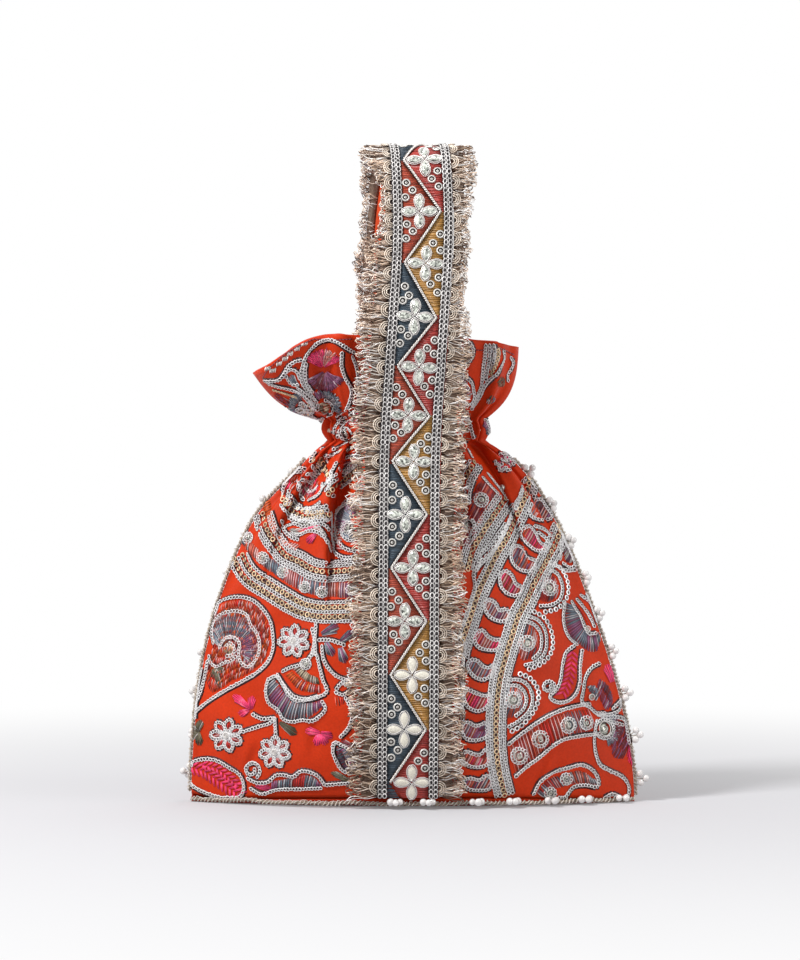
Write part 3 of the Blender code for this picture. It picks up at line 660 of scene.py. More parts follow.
def tubes(paths, ups, radius, sides=3, closed=False, flatness=1.0):
    """Round threads, one along each row of points (n, p, 3): a ring of corners at each point, and faces between."""
    count, steps = paths.shape[:2]
    if closed:
        ahead = np.roll(paths, -1, axis=1) - np.roll(paths, 1, axis=1)
    else:
        ahead = np.gradient(paths, axis=1)
    ahead = unit(ahead)
    side = unit(np.cross(ahead, np.broadcast_to(ups, paths.shape)))
    up = np.cross(side, ahead)
    angle = 2 * np.pi * (np.arange(sides) + 0.5) / sides
    radius = np.broadcast_to(radius, (count, steps))[..., None, None]
    ring = side[:, :, None] * np.cos(angle)[:, None] + up[:, :, None] * (flatness * np.sin(angle))[:, None]
    corners = (paths[:, :, None] + radius * ring).reshape(-1, 3)
    i, j = np.mgrid[0 : steps if closed else steps - 1, 0:sides]
    i_next, j_next = (i + 1) % steps, (j + 1) % sides
    one = np.stack([i * sides + j, i_next * sides + j, i_next * sides + j_next, i * sides + j_next], axis=-1)
    starts = (np.arange(count) * steps * sides)[:, None, None]
    quads = (one.reshape(1, -1, 4) + starts).reshape(-1, 4)
    if closed:
        return corners, quads, np.empty((0, 3), int)
    fan = cap_fan(sides)
    caps = np.concatenate([fan, fan[:, ::-1] + (steps - 1) * sides])[None] + starts
    return corners, quads, caps.reshape(-1, 3)


class Basket:
    """Collects many small shapes of one yarn, each with its colours, to make one piece of them."""

    def __init__(self):
        """Empty lists of corners, faces and colours."""
        self.corners, self.quads, self.triangles, self.tints = [], [], [], []
        self.size = 0

    def add(self, corners, quads, triangles, tints):
        """One more shape, its corner numbers counted on from those already here."""
        self.corners.append(corners)
        self.quads.append(quads + self.size)
        self.triangles.append(triangles + self.size)
        self.tints.append(np.broadcast_to(tints, (len(corners), 3)))
        self.size += len(corners)

    def add_threads(self, paths, ups, radius, colours, sides=3, closed=False, flatness=1.0):
        """Threads with one colour each (n, 3) or one for all."""
        corners, quads, caps = tubes(paths, ups, radius, sides, closed, flatness)
        each = np.broadcast_to(colours, (len(paths), 3))
        self.add(corners, quads, caps, np.repeat(each, paths.shape[1] * sides, axis=0))

    def piece(self, name, material, slot):
        """All the shapes as one mesh."""
        arrays = [np.concatenate(table) for table in (self.corners, self.quads, self.triangles, self.tints)]
        return make_piece(name, arrays[0], [arrays[1], arrays[2]], material, tints=arrays[3])


def twisted(path, ups, strands, twist_radius, pitch, closed=False):
    """Strands of a twisted cord: helices round a path, evenly spaced, one turn in each pitch."""
    step = np.linalg.norm(np.diff(path, axis=0), axis=1)
    run = np.concatenate([[0.0], np.cumsum(step)])
    if closed:
        whole = run[-1] + np.linalg.norm(path[0] - path[-1])
        pitch = whole / max(1, round(whole / pitch))
        ahead = unit(np.roll(path, -1, axis=0) - np.roll(path, 1, axis=0))
    else:
        ahead = unit(np.gradient(path, axis=0))
    side = unit(np.cross(ahead, ups))
    up = np.cross(side, ahead)
    angle = 2 * np.pi * (run[None] / pitch + np.arange(strands)[:, None] / strands)
    return path + twist_radius * (np.cos(angle)[..., None] * side + np.sin(angle)[..., None] * up)


cord_inset = np.array([CLOTH + SEW_GAP + NECK_CORD_RADIUS - CASING_PUFF - SEAM_OFFSET])
cord_path = inner_ring(np.array([BODY_HEIGHT + CASING_HEIGHT / 2]), cord_inset, 240)[0]
cord_up = np.array([0.0, 0.0, 1.0])
strands = twisted(cord_path, cord_up, 3, STRAND_RADIUS, 5 * MM, closed=True)
basket = Basket()
basket.add_threads(strands, cord_up, STRAND_RADIUS, (0.66, 0.56, 0.44), sides=5, closed=True)
neck_cord = basket.piece("drawn_cord", cotton_yarn, "cream_cord")
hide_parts("neck_cord")

# %% [markdown]
# A gimp cord is sewn into the side seams and along the bottom seam. It is two plies of beige thread, and little
# groups of three pearls are sewn to it on short threads, so they stand out past the seam.

# %% Beaded cord in the seams
PIPING_RADIUS = 0.7 * MM
PEARL_RADIUS = 2.2 * MM
PEARL_PITCH = 20.0 * MM
PEARL_GROUP = ((-2.3, 4.6), (2.2, 4.2), (0.2, 7.4))  # each pearl's place along and its reach out, in millimetres
PEARL_TINT = np.array([0.80, 0.77, 0.75])
LOWEST_GIMP, LOWEST_FUZZ, LOWEST_PEARL = 1.45 * MM, 0.2 * MM, 2.0 * MM
PLY_RADIUS, FUZZ_RADIUS, WIRE_RADIUS = 0.42 * MM, 0.28 * MM, 0.35 * MM
EDGING_LIFT = 0.3
EDGING_TOP = 0.95


def run_along(points):
    """Distance from the first point to each point of a line."""
    return np.concatenate([[0.0], np.cumsum(np.linalg.norm(np.diff(points, axis=0), axis=1))])


def read_at(distances, run, table):
    """Rows of a table read at given distances along a line."""
    return np.stack([np.interp(distances, run, table[:, axis]) for axis in range(table.shape[1])], axis=-1)


def side_seam(turn):
    """Line down a side seam, and the direction away from the bag at each of its points."""
    climbs = np.linspace(EDGING_TOP * BODY_HEIGHT, PEARL_RADIUS + SEW_GAP, 60)
    seam = silk_wall(turn, climbs, FRONT)
    seam[:, 1] = 0.0
    fall = np.gradient(seam, axis=0)
    away = np.stack([-fall[:, 2], 0 * climbs, fall[:, 0]], axis=-1) * np.sign(seam[:, :1])
    return seam, unit(away)


def bottom_seam():
    """Line along the front of the base from left to right, and the direction away from the bag."""
    turn = np.linspace(np.pi, 0.0, 121)[3:-3]
    lowest = PEARL_RADIUS + SEW_GAP + EDGING_LIFT * seam_height(turn)
    seam = wall(turn, lowest + PEARL_RADIUS, FRONT)
    seam[:, 2] = lowest
    heading = np.gradient(seam, axis=0)
    return seam, unit(np.stack([heading[:, 1], -heading[:, 0], np.zeros(len(seam))], axis=-1))


def ball(sides, rings):
    """Corners and faces of a unit ball: rings of latitude between two poles."""
    height = np.cos(np.pi * np.arange(1, rings) / rings)
    angle = 2 * np.pi * np.arange(sides) / sides
    width = np.sqrt(1 - height**2)
    belts = [np.outer(width, np.cos(angle)), np.outer(width, np.sin(angle)), np.outer(height, np.ones(sides))]
    belts = np.stack(belts, axis=-1)
    corners = np.concatenate([belts.reshape(-1, 3), [[0, 0, 1.0], [0, 0, -1.0]]])
    quads = grid_quads(rings - 1, sides, closed=True)[:, ::-1]
    column = np.arange(sides)
    after = (column + 1) % sides
    north, south = (rings - 1) * sides, (rings - 1) * sides + 1
    low = (rings - 2) * sides
    triangles = np.concatenate([
        np.stack([np.full(sides, north), column, after], axis=-1),
        np.stack([np.full(sides, south), low + after, low + column], axis=-1),
    ])
    return corners, quads, triangles


def add_balls(basket, centres, radii, colours, sides=8, rings=6):
    """Copies of one ball, each with its own centre, radius and colour."""
    corners, quads, triangles = ball(sides, rings)
    radii = np.broadcast_to(radii, len(centres))
    placed = centres[:, None] + corners[None] * radii[:, None, None]
    starts = (np.arange(len(centres)) * len(corners))[:, None, None]
    tints = np.repeat(np.broadcast_to(colours, (len(centres), 3)), len(corners), axis=0)
    quads, triangles = (quads[None] + starts).reshape(-1, 4), (triangles[None] + starts).reshape(-1, 3)
    basket.add(placed.reshape(-1, 3), quads, triangles, tints)


def straight_threads(starts, ends, steps):
    """Straight lines of evenly spaced points between rows of starts and ends (n, 3)."""
    share = np.linspace(0.0, 1.0, steps)[None, :, None]
    return starts[:, None] + (ends - starts)[:, None] * share


chance = np.random.default_rng(7)
gimp = Basket()
pearls = Basket()
seam_lines = {"left": side_seam(np.pi), "foot": bottom_seam(), "right": side_seam(0.0)}
for word, (line, away) in seam_lines.items():
    run = run_along(line)
    fine = np.arange(0.0, run[-1], 0.7 * MM)
    path = read_at(fine, run, line)
    out = unit(read_at(fine, run, away))
    core = path + out * (PIPING_RADIUS + SEW_GAP)
    sag = 1.1 * MM + 0.45 * MM * np.sin(core[:, 0] / (6 * MM)) * np.sin(core[:, 0] / (17 * MM))
    core[:, 2] = np.maximum(core[:, 2] - sag * (word == "foot"), LOWEST_GIMP)
    core += chance.normal(0.0, 0.06 * MM, core.shape)
    plies = twisted(core, out, 2, 0.5 * MM, 2.6 * MM)
    gimp.add_threads(plies, out, PLY_RADIUS, (0.36, 0.29, 0.22), sides=4)
    fuzz = twisted(core, out, 2, 1.05 * MM, 4.3 * MM)
    fuzz += chance.normal(0.0, 0.22 * MM, fuzz.shape)
    fuzz[..., 2] = np.maximum(fuzz[..., 2], LOWEST_FUZZ)
    gimp.add_threads(fuzz, out, FUZZ_RADIUS, (0.70, 0.63, 0.56))
    groups = round(run[-1] / PEARL_PITCH)
    middles = (np.arange(groups) + 0.5) * run[-1] / groups + chance.normal(0.0, 1.2 * MM, groups)
    middles = middles[read_at(middles, run, line)[:, 0] > -20 * MM] if word == "foot" else middles
    groups = len(middles)
    for offset, reach in PEARL_GROUP:
        spots = middles + offset * MM
        centre = read_at(spots, run, line)
        outward = unit(read_at(spots, run, away))
        lift = np.array([0.0, 5.0 if word == "left" else -0.6, 0.0]) * chance.uniform(0.6, 1.4, (groups, 1)) * MM
        hang = np.clip(1.0 - 4.5 * centre[:, 2:], 0.55, 0.9)
        reach = reach * (chance.uniform(0.0, 0.6, (groups, 1)) if word == "left" else hang)
        centre = centre + outward * (reach + chance.normal(0.0, 0.4, (groups, 1))) * MM + lift
        centre[:, 2] = np.maximum(centre[:, 2], LOWEST_PEARL)
        radius = chance.uniform(1.65, 1.95, groups) * MM
        add_balls(pearls, centre, radius, chance.uniform(0.85, 1.0, (groups, 1)) * PEARL_TINT)
        foot = read_at(middles, run, line) + outward * PIPING_RADIUS
        wires = straight_threads(foot, centre, 5)
        gimp.add_threads(wires, outward[:, None] + np.array([0.0, 0.3, 0.2]), WIRE_RADIUS, (0.62, 0.56, 0.50))
seam_gimp = gimp.piece("seam_gimp", cotton_yarn, "cream_cord")
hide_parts("beaded_edging")
pearls.piece("seam_pearls", pearl_glass, "pearl")

# %% [markdown]
# The strap is made along one line: from just above the base, up the front, round the loop and down the back. A place
# on it is a distance along, a distance across, and a height above its inner face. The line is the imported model's: it
# lies on the cloth where the cloth stands out, and is drawn taut over the hollow below the ruffle.

# %% Line of the strap
STRAP_HALF_WIDTH = 15.0 * MM
STRAP_LINING_CLOTH = 0.8 * MM
STRAP_CLOTH = 1.4 * MM
LACE_WIDTH = 4.8 * MM
LACE_THICKNESS = 1.1 * MM
FRINGE_WIDTHS = {-1: 14.5 * MM, 1: 13.0 * MM}
STRAP_TOP = 330.0 * MM
LOOP_RADIUS = 21.0 * MM
STRAP_SWAY = np.array([(0.0, -2.7), (0.26, -1.7), (0.42, 5.8), (0.5, 3.0), (0.58, -5.7), (0.76, -4.0), (1.0, 0.0)])
LOOP_FOOT = 235.0 * MM
LOOP_STRETCH = 0.045
LEFT, RIGHT = -1, 1


def upper_hull(along_z, outward):
    """The taut line over a profile: its concave upper envelope, read at the same heights."""
    kept = []
    for point in zip(along_z, outward):
        while len(kept) > 1:
            (z0, y0), (z1, y1) = kept[-2], kept[-1]
            if (y1 - y0) * (point[0] - z1) > (point[1] - y1) * (z1 - z0):
                break
            kept.pop()
        kept.append(point)
    corners = np.array(kept)
    return np.interp(along_z, corners[:, 0], corners[:, 1])


def leg_profile(side):
    """Heights and outward distances of the strap's inner face from the base to the rim of the ruffle."""
    foot = 2 * PEARL_RADIUS + EDGING_LIFT * SEAM_LIFT + 3 * SEW_GAP
    climbs = np.linspace(foot, RIM, 120)
    middle = wall(np.pi / 2, climbs, side)
    sampled = [wall(turn, climbs, side)[:, 1] * side for turn in np.linspace(0.38, 0.62, 25) * np.pi]
    cloth = np.max(sampled, axis=0) + 0.2 * pleat_depth(np.clip(climbs / BODY_HEIGHT, 0.0, 1.0))
    taut = upper_hull(middle[:, 2], cloth)
    return middle[:, 2], np.maximum(cloth, (cloth + 2 * taut) / 3) + 3 * SEW_GAP


def strap_line():
    """Up the front, round the loop and down the back, smoothed, with its sway to the sides."""
    inner_top = STRAP_TOP - STRAP_LINING_CLOTH - STRAP_CLOTH - LACE_THICKNESS - 2 * SEW_GAP
    front_z, front_out = leg_profile(FRONT)
    back_z, back_out = leg_profile(BACK)
    bend = np.linspace(0.0, np.pi, 40)
    y = np.concatenate([-front_out, -LOOP_RADIUS * np.cos(bend), back_out[::-1]])
    z = np.concatenate([front_z, inner_top - LOOP_RADIUS + LOOP_RADIUS * np.sin(bend), back_z[::-1]])
    line = np.stack([np.zeros_like(y), y, z], axis=-1)
    run = run_along(line)
    even = read_at(np.linspace(0.0, run[-1], 400), run, line)
    window = np.hanning(25) / np.hanning(25).sum()
    padded = np.pad(even, ((12, 12), (0, 0)), mode="reflect", reflect_type="odd")
    smooth = np.stack([np.convolve(padded[:, axis], window, mode="valid") for axis in range(3)], axis=-1)
    wide_window = np.hanning(49) / np.hanning(49).sum()
    sway = np.interp(np.linspace(0.0, 1.0, 400), STRAP_SWAY[:, 0], STRAP_SWAY[:, 1] * MM)
    smooth[:, 0] = np.convolve(np.pad(sway, 24, mode="edge"), wide_window, mode="valid")
    smooth[:, 2] += LOOP_STRETCH * np.clip(smooth[:, 2] - LOOP_FOOT, 0.0, None)
    return smooth


strap = strap_line()
strap_run = run_along(strap)
strap_length = strap_run[-1]
strap_heading = unit(np.gradient(strap, axis=0))
strap_outward = unit(-np.cross(strap_heading, [[1.0, 0.0, 0.0]]))
strap_across = -np.cross(strap_outward, strap_heading)


def on_strap(distance, across, height):
    """Places on the strap, from distances along it, across it and above its inner face."""
    distance, across, height = np.broadcast_arrays(distance, across, height)
    flat = np.clip(distance, 0.0, strap_length).ravel()
    place = read_at(flat, strap_run, strap)
    place += read_at(flat, strap_run, strap_across) * across.reshape(-1, 1)
    place += read_at(flat, strap_run, strap_outward) * height.reshape(-1, 1)
    beyond = (distance - np.clip(distance, 0.0, strap_length)).reshape(-1, 1)
    place += read_at(flat, strap_run, strap_heading) * beyond
    return place.reshape(*distance.shape, 3)


def strap_up(distance):
    """The direction away from the strap's inner face, at distances along it."""
    distance = np.asarray(distance, float)
    return unit(read_at(distance.ravel(), strap_run, strap_outward)).reshape(*distance.shape, 3)


print("strap length in mm:", round(strap_length / MM, 1))

# %% [markdown]
# The strap has a silk lining behind, and a face of thin woven pieces in four colours, cut as triangles. Where the
# zigzag braid will run, the face is divided, so each triangle has its own colour right up to the braid.

# %% Strap lining and coloured face
FLOWER_COUNT = 26
FLOWER_RADIUS = 7.8 * MM
FLOWER_SHIFT = 1.9 * MM
FLOWER_MARGIN = 0.4 * MM
BRAID_REACH = 8.7 * MM
FIELD_COLOURS = np.array([(0.33, 0.030, 0.022), (0.040, 0.062, 0.085), (0.36, 0.185, 0.040), (0.36, 0.055, 0.025)])
BAND_BASE = STRAP_LINING_CLOTH + SEW_GAP
LACE_BASE = BAND_BASE + STRAP_CLOTH + SEW_GAP
FLOWER_SLIDES = np.array([(6, 0.0), (7, -3.0), (8, -5.0), (9, -7.0), (10, -6.0), (12, -5.0), (13, -3.0), (15, 0.0)])

flower_places = np.linspace(FLOWER_RADIUS + FLOWER_MARGIN, strap_length - FLOWER_RADIUS - FLOWER_MARGIN, FLOWER_COUNT)
flower_places += np.interp(np.arange(FLOWER_COUNT), FLOWER_SLIDES[:, 0], FLOWER_SLIDES[:, 1]) * MM
flower_side = np.where(np.arange(FLOWER_COUNT) % 2 == 0, 1.0, -1.0)
flower_step = flower_places[1] - flower_places[0]
field_ends = np.concatenate([[flower_places[0] - flower_step], flower_places, [flower_places[-1] + flower_step]])


def zigzag(distance):
    """Sideways place of the braid: it turns beside each flower, away from it."""
    sides = np.concatenate([[-flower_side[0]], flower_side, [-flower_side[-1]]])
    return np.interp(distance, field_ends, -sides * BRAID_REACH)


def carried_along(distances, profile):
    """Corners and faces of a closed profile (n, sides, 2) of across and height, carried along the strap."""
    rows, sides = profile.shape[:2]
    corners = on_strap(distances[:, None], profile[..., 0], profile[..., 1]).reshape(-1, 3)
    quads = grid_quads(rows, sides, closed=True)
    fan = cap_fan(sides)
    caps = np.concatenate([fan[:, ::-1], fan + (rows - 1) * sides])
    return corners, quads, caps


def band_profile(left, right, low, high, columns=2):
    """A flat rectangle between two sides and two heights, going round from the lower left."""
    share = np.linspace(0.0, 1.0, columns)
    left, right, low, high = (np.atleast_1d(value)[:, None] for value in (left, right, low, high))
    left, right, low, high = np.broadcast_arrays(left, right, low, high)
    floor = np.stack([left + (right - left) * share, low + 0 * share], axis=-1)
    roof = np.stack([right + (left - right) * share, high + 0 * share], axis=-1)
    return np.concatenate([floor, roof], axis=1)


def strap_strip(basket, distances, left, right, low, high, colour, columns=2):
    """A flat rectangle carried along the strap, put into a basket."""
    profile = np.broadcast_to(band_profile(left, right, low, high, columns), (len(distances), 2 * columns, 2))
    basket.add(*carried_along(distances, profile), colour)


along = np.linspace(0.0, strap_length, 420)
basket = Basket()
pucker = 0.25 * MM * np.sin(along / (2.6 * MM)) ** 2
strap_strip(basket, along, -STRAP_HALF_WIDTH, STRAP_HALF_WIDTH, -pucker, STRAP_LINING_CLOTH, (0.55, 0.05, 0.02), 5)
strap_back = basket.piece("strap_back", lining_silk, "vermilion_silk")
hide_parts("strap_lining")

basket = Basket()
margin = 0.2 * MM
half_field = STRAP_HALF_WIDTH - 1.0 * MM
for side in (LEFT, RIGHT):
    own = np.flatnonzero(flower_side == side)
    for number in own:
        start, end = max(0.0, field_ends[number]), min(strap_length, field_ends[number + 2])
        distances = np.linspace(start, end, 25)
        edge = zigzag(distances)
        low = np.full_like(edge, -half_field) if side == LEFT else edge
        high = edge if side == LEFT else np.full_like(edge, half_field)
        high = np.maximum(high, low + margin)
        strap_strip(basket, distances, low, high, BAND_BASE, BAND_BASE + STRAP_CLOTH, FIELD_COLOURS[number % 4], 4)
strap_face = basket.piece("strap_face", silk_floss, "crimson_weave")
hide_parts("strap_band")

# %% [markdown]
# The triangles are worked over with flat stitches from edge to edge, so the face has a fine ribbed look. Each stitch
# is one short flat thread that starts at the lace and ends at the braid.

# %% Stitches across the triangles
RIB_PITCH = 0.95 * MM
RIB_REACH, RIB_START = 10.4 * MM, 0.9 * MM

ribs = np.arange(0.4 * MM, strap_length, RIB_PITCH)
rib_edge = zigzag(ribs)
rib_height = BAND_BASE + STRAP_CLOTH
field_stitches = Basket()
for side in (LEFT, RIGHT):
    own = np.flatnonzero(flower_side == side)
    nearest = own[np.abs(ribs[:, None] - flower_places[own]).argmin(axis=1)]
    shade = chance.uniform(0.75, 1.45, (len(ribs), 1))
    colour = FIELD_COLOURS[nearest % 4] * shade + 0.01
    starts = on_strap(ribs, np.full_like(ribs, side * RIB_REACH), rib_height)
    ends = on_strap(ribs + chance.normal(0, 0.25 * MM, len(ribs)), rib_edge + side * RIB_START, rib_height)
    lines = straight_threads(starts, ends, 2)
    field_stitches.add_threads(lines, strap_up(ribs)[:, None], 0.52 * MM, colour, flatness=0.5)
field_stitches.piece("strap_ribs", silk_floss, "crimson_weave")

# %% [markdown]
# Silver chain lace runs along both edges of the face, and a twisted silver braid zigzags between the flowers. A
# link of the chain is a small oval ring, and each one overlaps the one before.

# %% Chain lace and braid
LINK_PITCH = 2.35 * MM
LINK_HALF_LONG, LINK_THREAD = 1.3 * MM, 0.28 * MM
SILVER = np.array([0.88, 0.85, 0.83])


def ovals(centres, ahead, up, half_long, half_wide, points, rise=0.0, taper=0.0):
    """Closed oval paths (n, points, 3) round each centre, lifted at the nose and, with a taper, narrow at the tail."""
    side = np.cross(ahead, up)
    angle = 2 * np.pi * np.arange(points) / points
    half_long, half_wide = (np.broadcast_to(half, len(centres))[:, None, None] for half in (half_long, half_wide))
    along = ahead[:, None] * np.cos(angle)[:, None] * half_long
    wide = (np.sin(angle) * (1 + taper * np.cos(angle)))[:, None] * half_wide
    return centres[:, None] + along + side[:, None] * wide + up[:, None] * rise * np.cos(angle)[:, None]


lace = Basket()
links = np.arange(LINK_PITCH / 2, strap_length, LINK_PITCH)
heading = unit(read_at(links, strap_run, strap_heading))
for side in (LEFT, RIGHT):
    # A near-black strip lies under each lace and shows through its links; on the left it reaches 0.6 mm past the lace,
    # a line of painted shadow along the strap's edge.
    edge = STRAP_HALF_WIDTH + 0.6 * MM * (side == LEFT)
    edges = np.sort([side * edge, side * (STRAP_HALF_WIDTH - LACE_WIDTH)])
    strap_strip(lace, along, edges[0], edges[1], LACE_BASE, LACE_BASE + 0.3 * MM, (0.035, 0.028, 0.03))
    for row in (-1.15, 1.15):
        across = np.full_like(links, side * (STRAP_HALF_WIDTH - LACE_WIDTH / 2) + row * MM)
        centres = on_strap(links, across, LACE_BASE + 0.7 * MM)
        bend = np.clip(heading + chance.normal(0.0, 0.09, heading.shape), -1.0, 1.0)
        half_wide = chance.uniform(0.85, 1.05, len(links)) * MM
        rings = ovals(centres, unit(bend), strap_up(links), LINK_HALF_LONG, half_wide, 7, 0.25 * MM)
        tint = chance.uniform(0.6, 1.1, (len(links), 1)) * SILVER
        lace.add_threads(rings, strap_up(links)[:, None], LINK_THREAD, tint, closed=True)
silver_lace = lace.piece("silver_lace", metal_yarn, "silver_lace")
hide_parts("lace_left", "lace_right")

braid_run = np.linspace(flower_places[0], flower_places[-1], 1100)
braid_line = on_strap(braid_run, zigzag(braid_run), rib_height + 0.9 * MM)
basket = Basket()
plies = twisted(braid_line, strap_up(braid_run), 2, 0.5 * MM, 2.5 * MM)
basket.add_threads(plies, strap_up(braid_run)[None], 0.30 * MM, (0.80, 0.76, 0.72), sides=4)
# A wide flat near-black thread under the braid is painted shade: it darkens the gaps between the plies and a thin edge
# beside them.
braid_shade = on_strap(braid_run, zigzag(braid_run), rib_height + 0.25 * MM)
basket.add_threads(braid_shade[None, ::4], strap_up(braid_run)[None, ::4], 0.95 * MM, (0.05, 0.035, 0.03), flatness=0.3)
silver_braid = basket.piece("silver_braid", metal_yarn, "silver_lace")
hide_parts("zigzag_braid")

# %% [markdown]
# Each triangle holds a flower of four teardrop petals, up, down, left and right, outlined twice in silver cord. The
# first three are ivory satin and the others mirror pieces. Three ring sequins fill each corner beside a flower.

# %% Petal flowers and ring sequins
PETAL_START = 1.0 * MM
PETAL_LENGTH = 7.4 * MM
PETAL_HALF_WIDTH = 1.95 * MM
OUTLINES = ((0.12 * MM, 0.5 * MM), (0.67 * MM, 0.25 * MM))  # how far out each cord runs, and how high
IVORY, MIRROR = (0.76, 0.72, 0.61), (0.45, 0.47, 0.42)
RINGS = ((1.7, 0.5, (0.74, 0.72, 0.68)), (0.45, 0.4, (0.66, 0.64, 0.61)))  # radius, thread and colour
FLOWER_BASE = rib_height + 0.5 * MM
IVORY_FLOWERS = 3
RING_PLACES = np.array([(14.6, 6.4), (10.6, 3.2), (7.2, 6.6), (-6.4, 6.4), (-10.2, 3.0), (-13.9, 6.4)]) * MM


def petal_width(share):
    """Half width of a petal: a teardrop, widest at two thirds of its length."""
    return PETAL_HALF_WIDTH * np.sin(np.pi * share**1.25) ** 0.8


ivory, mirrors, outlines = Basket(), Basket(), Basket()
share = np.array([0.0, 0.1, 0.28, 0.48, 0.66, 0.82, 0.94, 1.0])
round_trip = np.concatenate([share, share[-2:0:-1]])
sign = np.concatenate([np.ones(len(share)), -np.ones(len(share) - 2)])
for number, (place, side) in enumerate(zip(flower_places, flower_side)):
    middle = side * FLOWER_SHIFT
    up = strap_up(np.array([place]))[None]
    for quarter in range(4):
        ahead = np.array([math.cos(quarter * math.pi / 2), math.sin(quarter * math.pi / 2)])
        reach = PETAL_START + PETAL_LENGTH * share
        spine = on_strap(place + ahead[0] * reach, middle + ahead[1] * reach, FLOWER_BASE + 0.45 * MM)
        width = np.maximum(petal_width(share), 0.05 * MM)
        body, tone = (ivory, IVORY) if number < IVORY_FLOWERS else (mirrors, MIRROR)
        body.add_threads(spine[None], up, width, tone, sides=8, flatness=0.26)
        for extra, height in OUTLINES:
            out = PETAL_START + PETAL_LENGTH * round_trip + extra * (2 * round_trip - 1)
            wide = sign * (petal_width(round_trip) + extra)
            climb, across = ahead[0] * out - ahead[1] * wide, ahead[1] * out + ahead[0] * wide
            line = on_strap(place + climb, middle + across, FLOWER_BASE + height)
            outlines.add_threads(line[None], up, 0.3 * MM, (0.84, 0.81, 0.78), closed=True)
    room = np.where(RING_PLACES[:, 0] > 0, field_ends[number + 2] - place, place - field_ends[number]) / flower_step
    spots = np.stack([place + RING_PLACES[:, 0] * room, middle + side * RING_PLACES[:, 1]], axis=-1)
    spots = spots[(spots[:, 0] > 3 * MM) & (spots[:, 0] < strap_length - 3 * MM)]
    spots += chance.normal(0.0, 0.25 * MM, spots.shape)
    centres = on_strap(spots[:, 0], spots[:, 1], rib_height + 0.55 * MM)
    nose = unit(read_at(spots[:, 0], strap_run, strap_heading))
    square = strap_up(spots[:, 0])
    for radius, thread, colour in RINGS:
        rings = ovals(centres, nose, square, radius * MM, radius * MM, 10 if radius > 1 else 5)
        outlines.add_threads(rings, square[:, None], thread * MM, colour, closed=True)
    beds = straight_threads(centres - nose * 1.7 * MM, centres + nose * 1.7 * MM, 2) - square[:, None] * 0.5 * MM
    outlines.add_threads(beds, square[:, None], 1.7 * MM, (0.06, 0.045, 0.04), sides=4, flatness=0.15)
ivory.piece("ivory_petals", silk_floss, "mirror_petal")
mirror_petals = mirrors.piece("mirror_petals", mirror_glass, "mirror_petal")
outlines.piece("petal_cords", metal_yarn, "silver_lace")
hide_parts(*[f"mirror_flower_{number:02d}" for number in range(1, FLOWER_COUNT + 1)])

# %% [markdown]
# The fringe is thousands of loops of crinkled metal thread, sewn in so close together that they hide the strip they
# hang from; the strip is dark, as painted shade in the gaps between them. Each one goes out in a wavy line, bends
# round at its tip and comes part of the way back. Their lengths, heights and colours vary, which is what makes the
# edge look loose; the near-white loops are painted highlights and the near-black ones painted shade. Small coils of
# cord cover the seam to the lace.

# %% Looped fringe
LOOP_PITCH = 0.64 * MM
LOOP_STEPS = 8
LOOP_THREAD, COIL_THREAD = 0.25 * MM, 0.32 * MM
LOOP_TIP, LOOP_RETURN = 0.72, 0.32  # share of a loop's way where its tip is, and how far it comes back from there
COIL_PITCH, COIL_RADII = 9.4 * MM, (3.6, 2.6, 1.6)
COIL_TINT = np.array([0.84, 0.72, 0.60])
TUFTS = {  # shares of the strap's length, and the fringe's share of its full width there
    LEFT: np.array([(0.0, 1.0), (0.40, 1.0), (0.415, 0.5), (0.465, 0.5), (0.48, 1.0), (0.52, 0.9), (0.54, 0.6),
                    (0.64, 0.6), (0.68, 1.0), (1.0, 1.0)]),
    RIGHT: np.array([(0.0, 1.0), (0.33, 1.0), (0.36, 0.62), (0.425, 0.62), (0.445, 0.95), (0.5, 0.9), (0.56, 0.6),
                     (0.62, 1.0), (1.0, 1.0)]),
}
# Beige and pinkish tones of the metal thread, with near-white loops as painted highlights and near-black loops as
# painted shade.
FRINGE_COLOURS_AND_PAINTED_LIGHT = np.array([
    (0.80, 0.62, 0.48), (0.95, 0.90, 0.84), (0.62, 0.45, 0.32), (0.97, 0.93, 0.90), (0.74, 0.58, 0.46),
    (0.20, 0.12, 0.08), (0.95, 0.80, 0.68), (0.12, 0.07, 0.05),
])


def tuft_share(distance, side):
    """Length of the fringe along the strap, as a share: short beside the opening of the loop, and uneven everywhere."""
    slow = 0.08 * np.sin(distance / (7 * MM)) + 0.06 * np.sin(distance / (2.9 * MM) + 1.0)
    return np.interp(distance / strap_length, *TUFTS[side].T) + slow


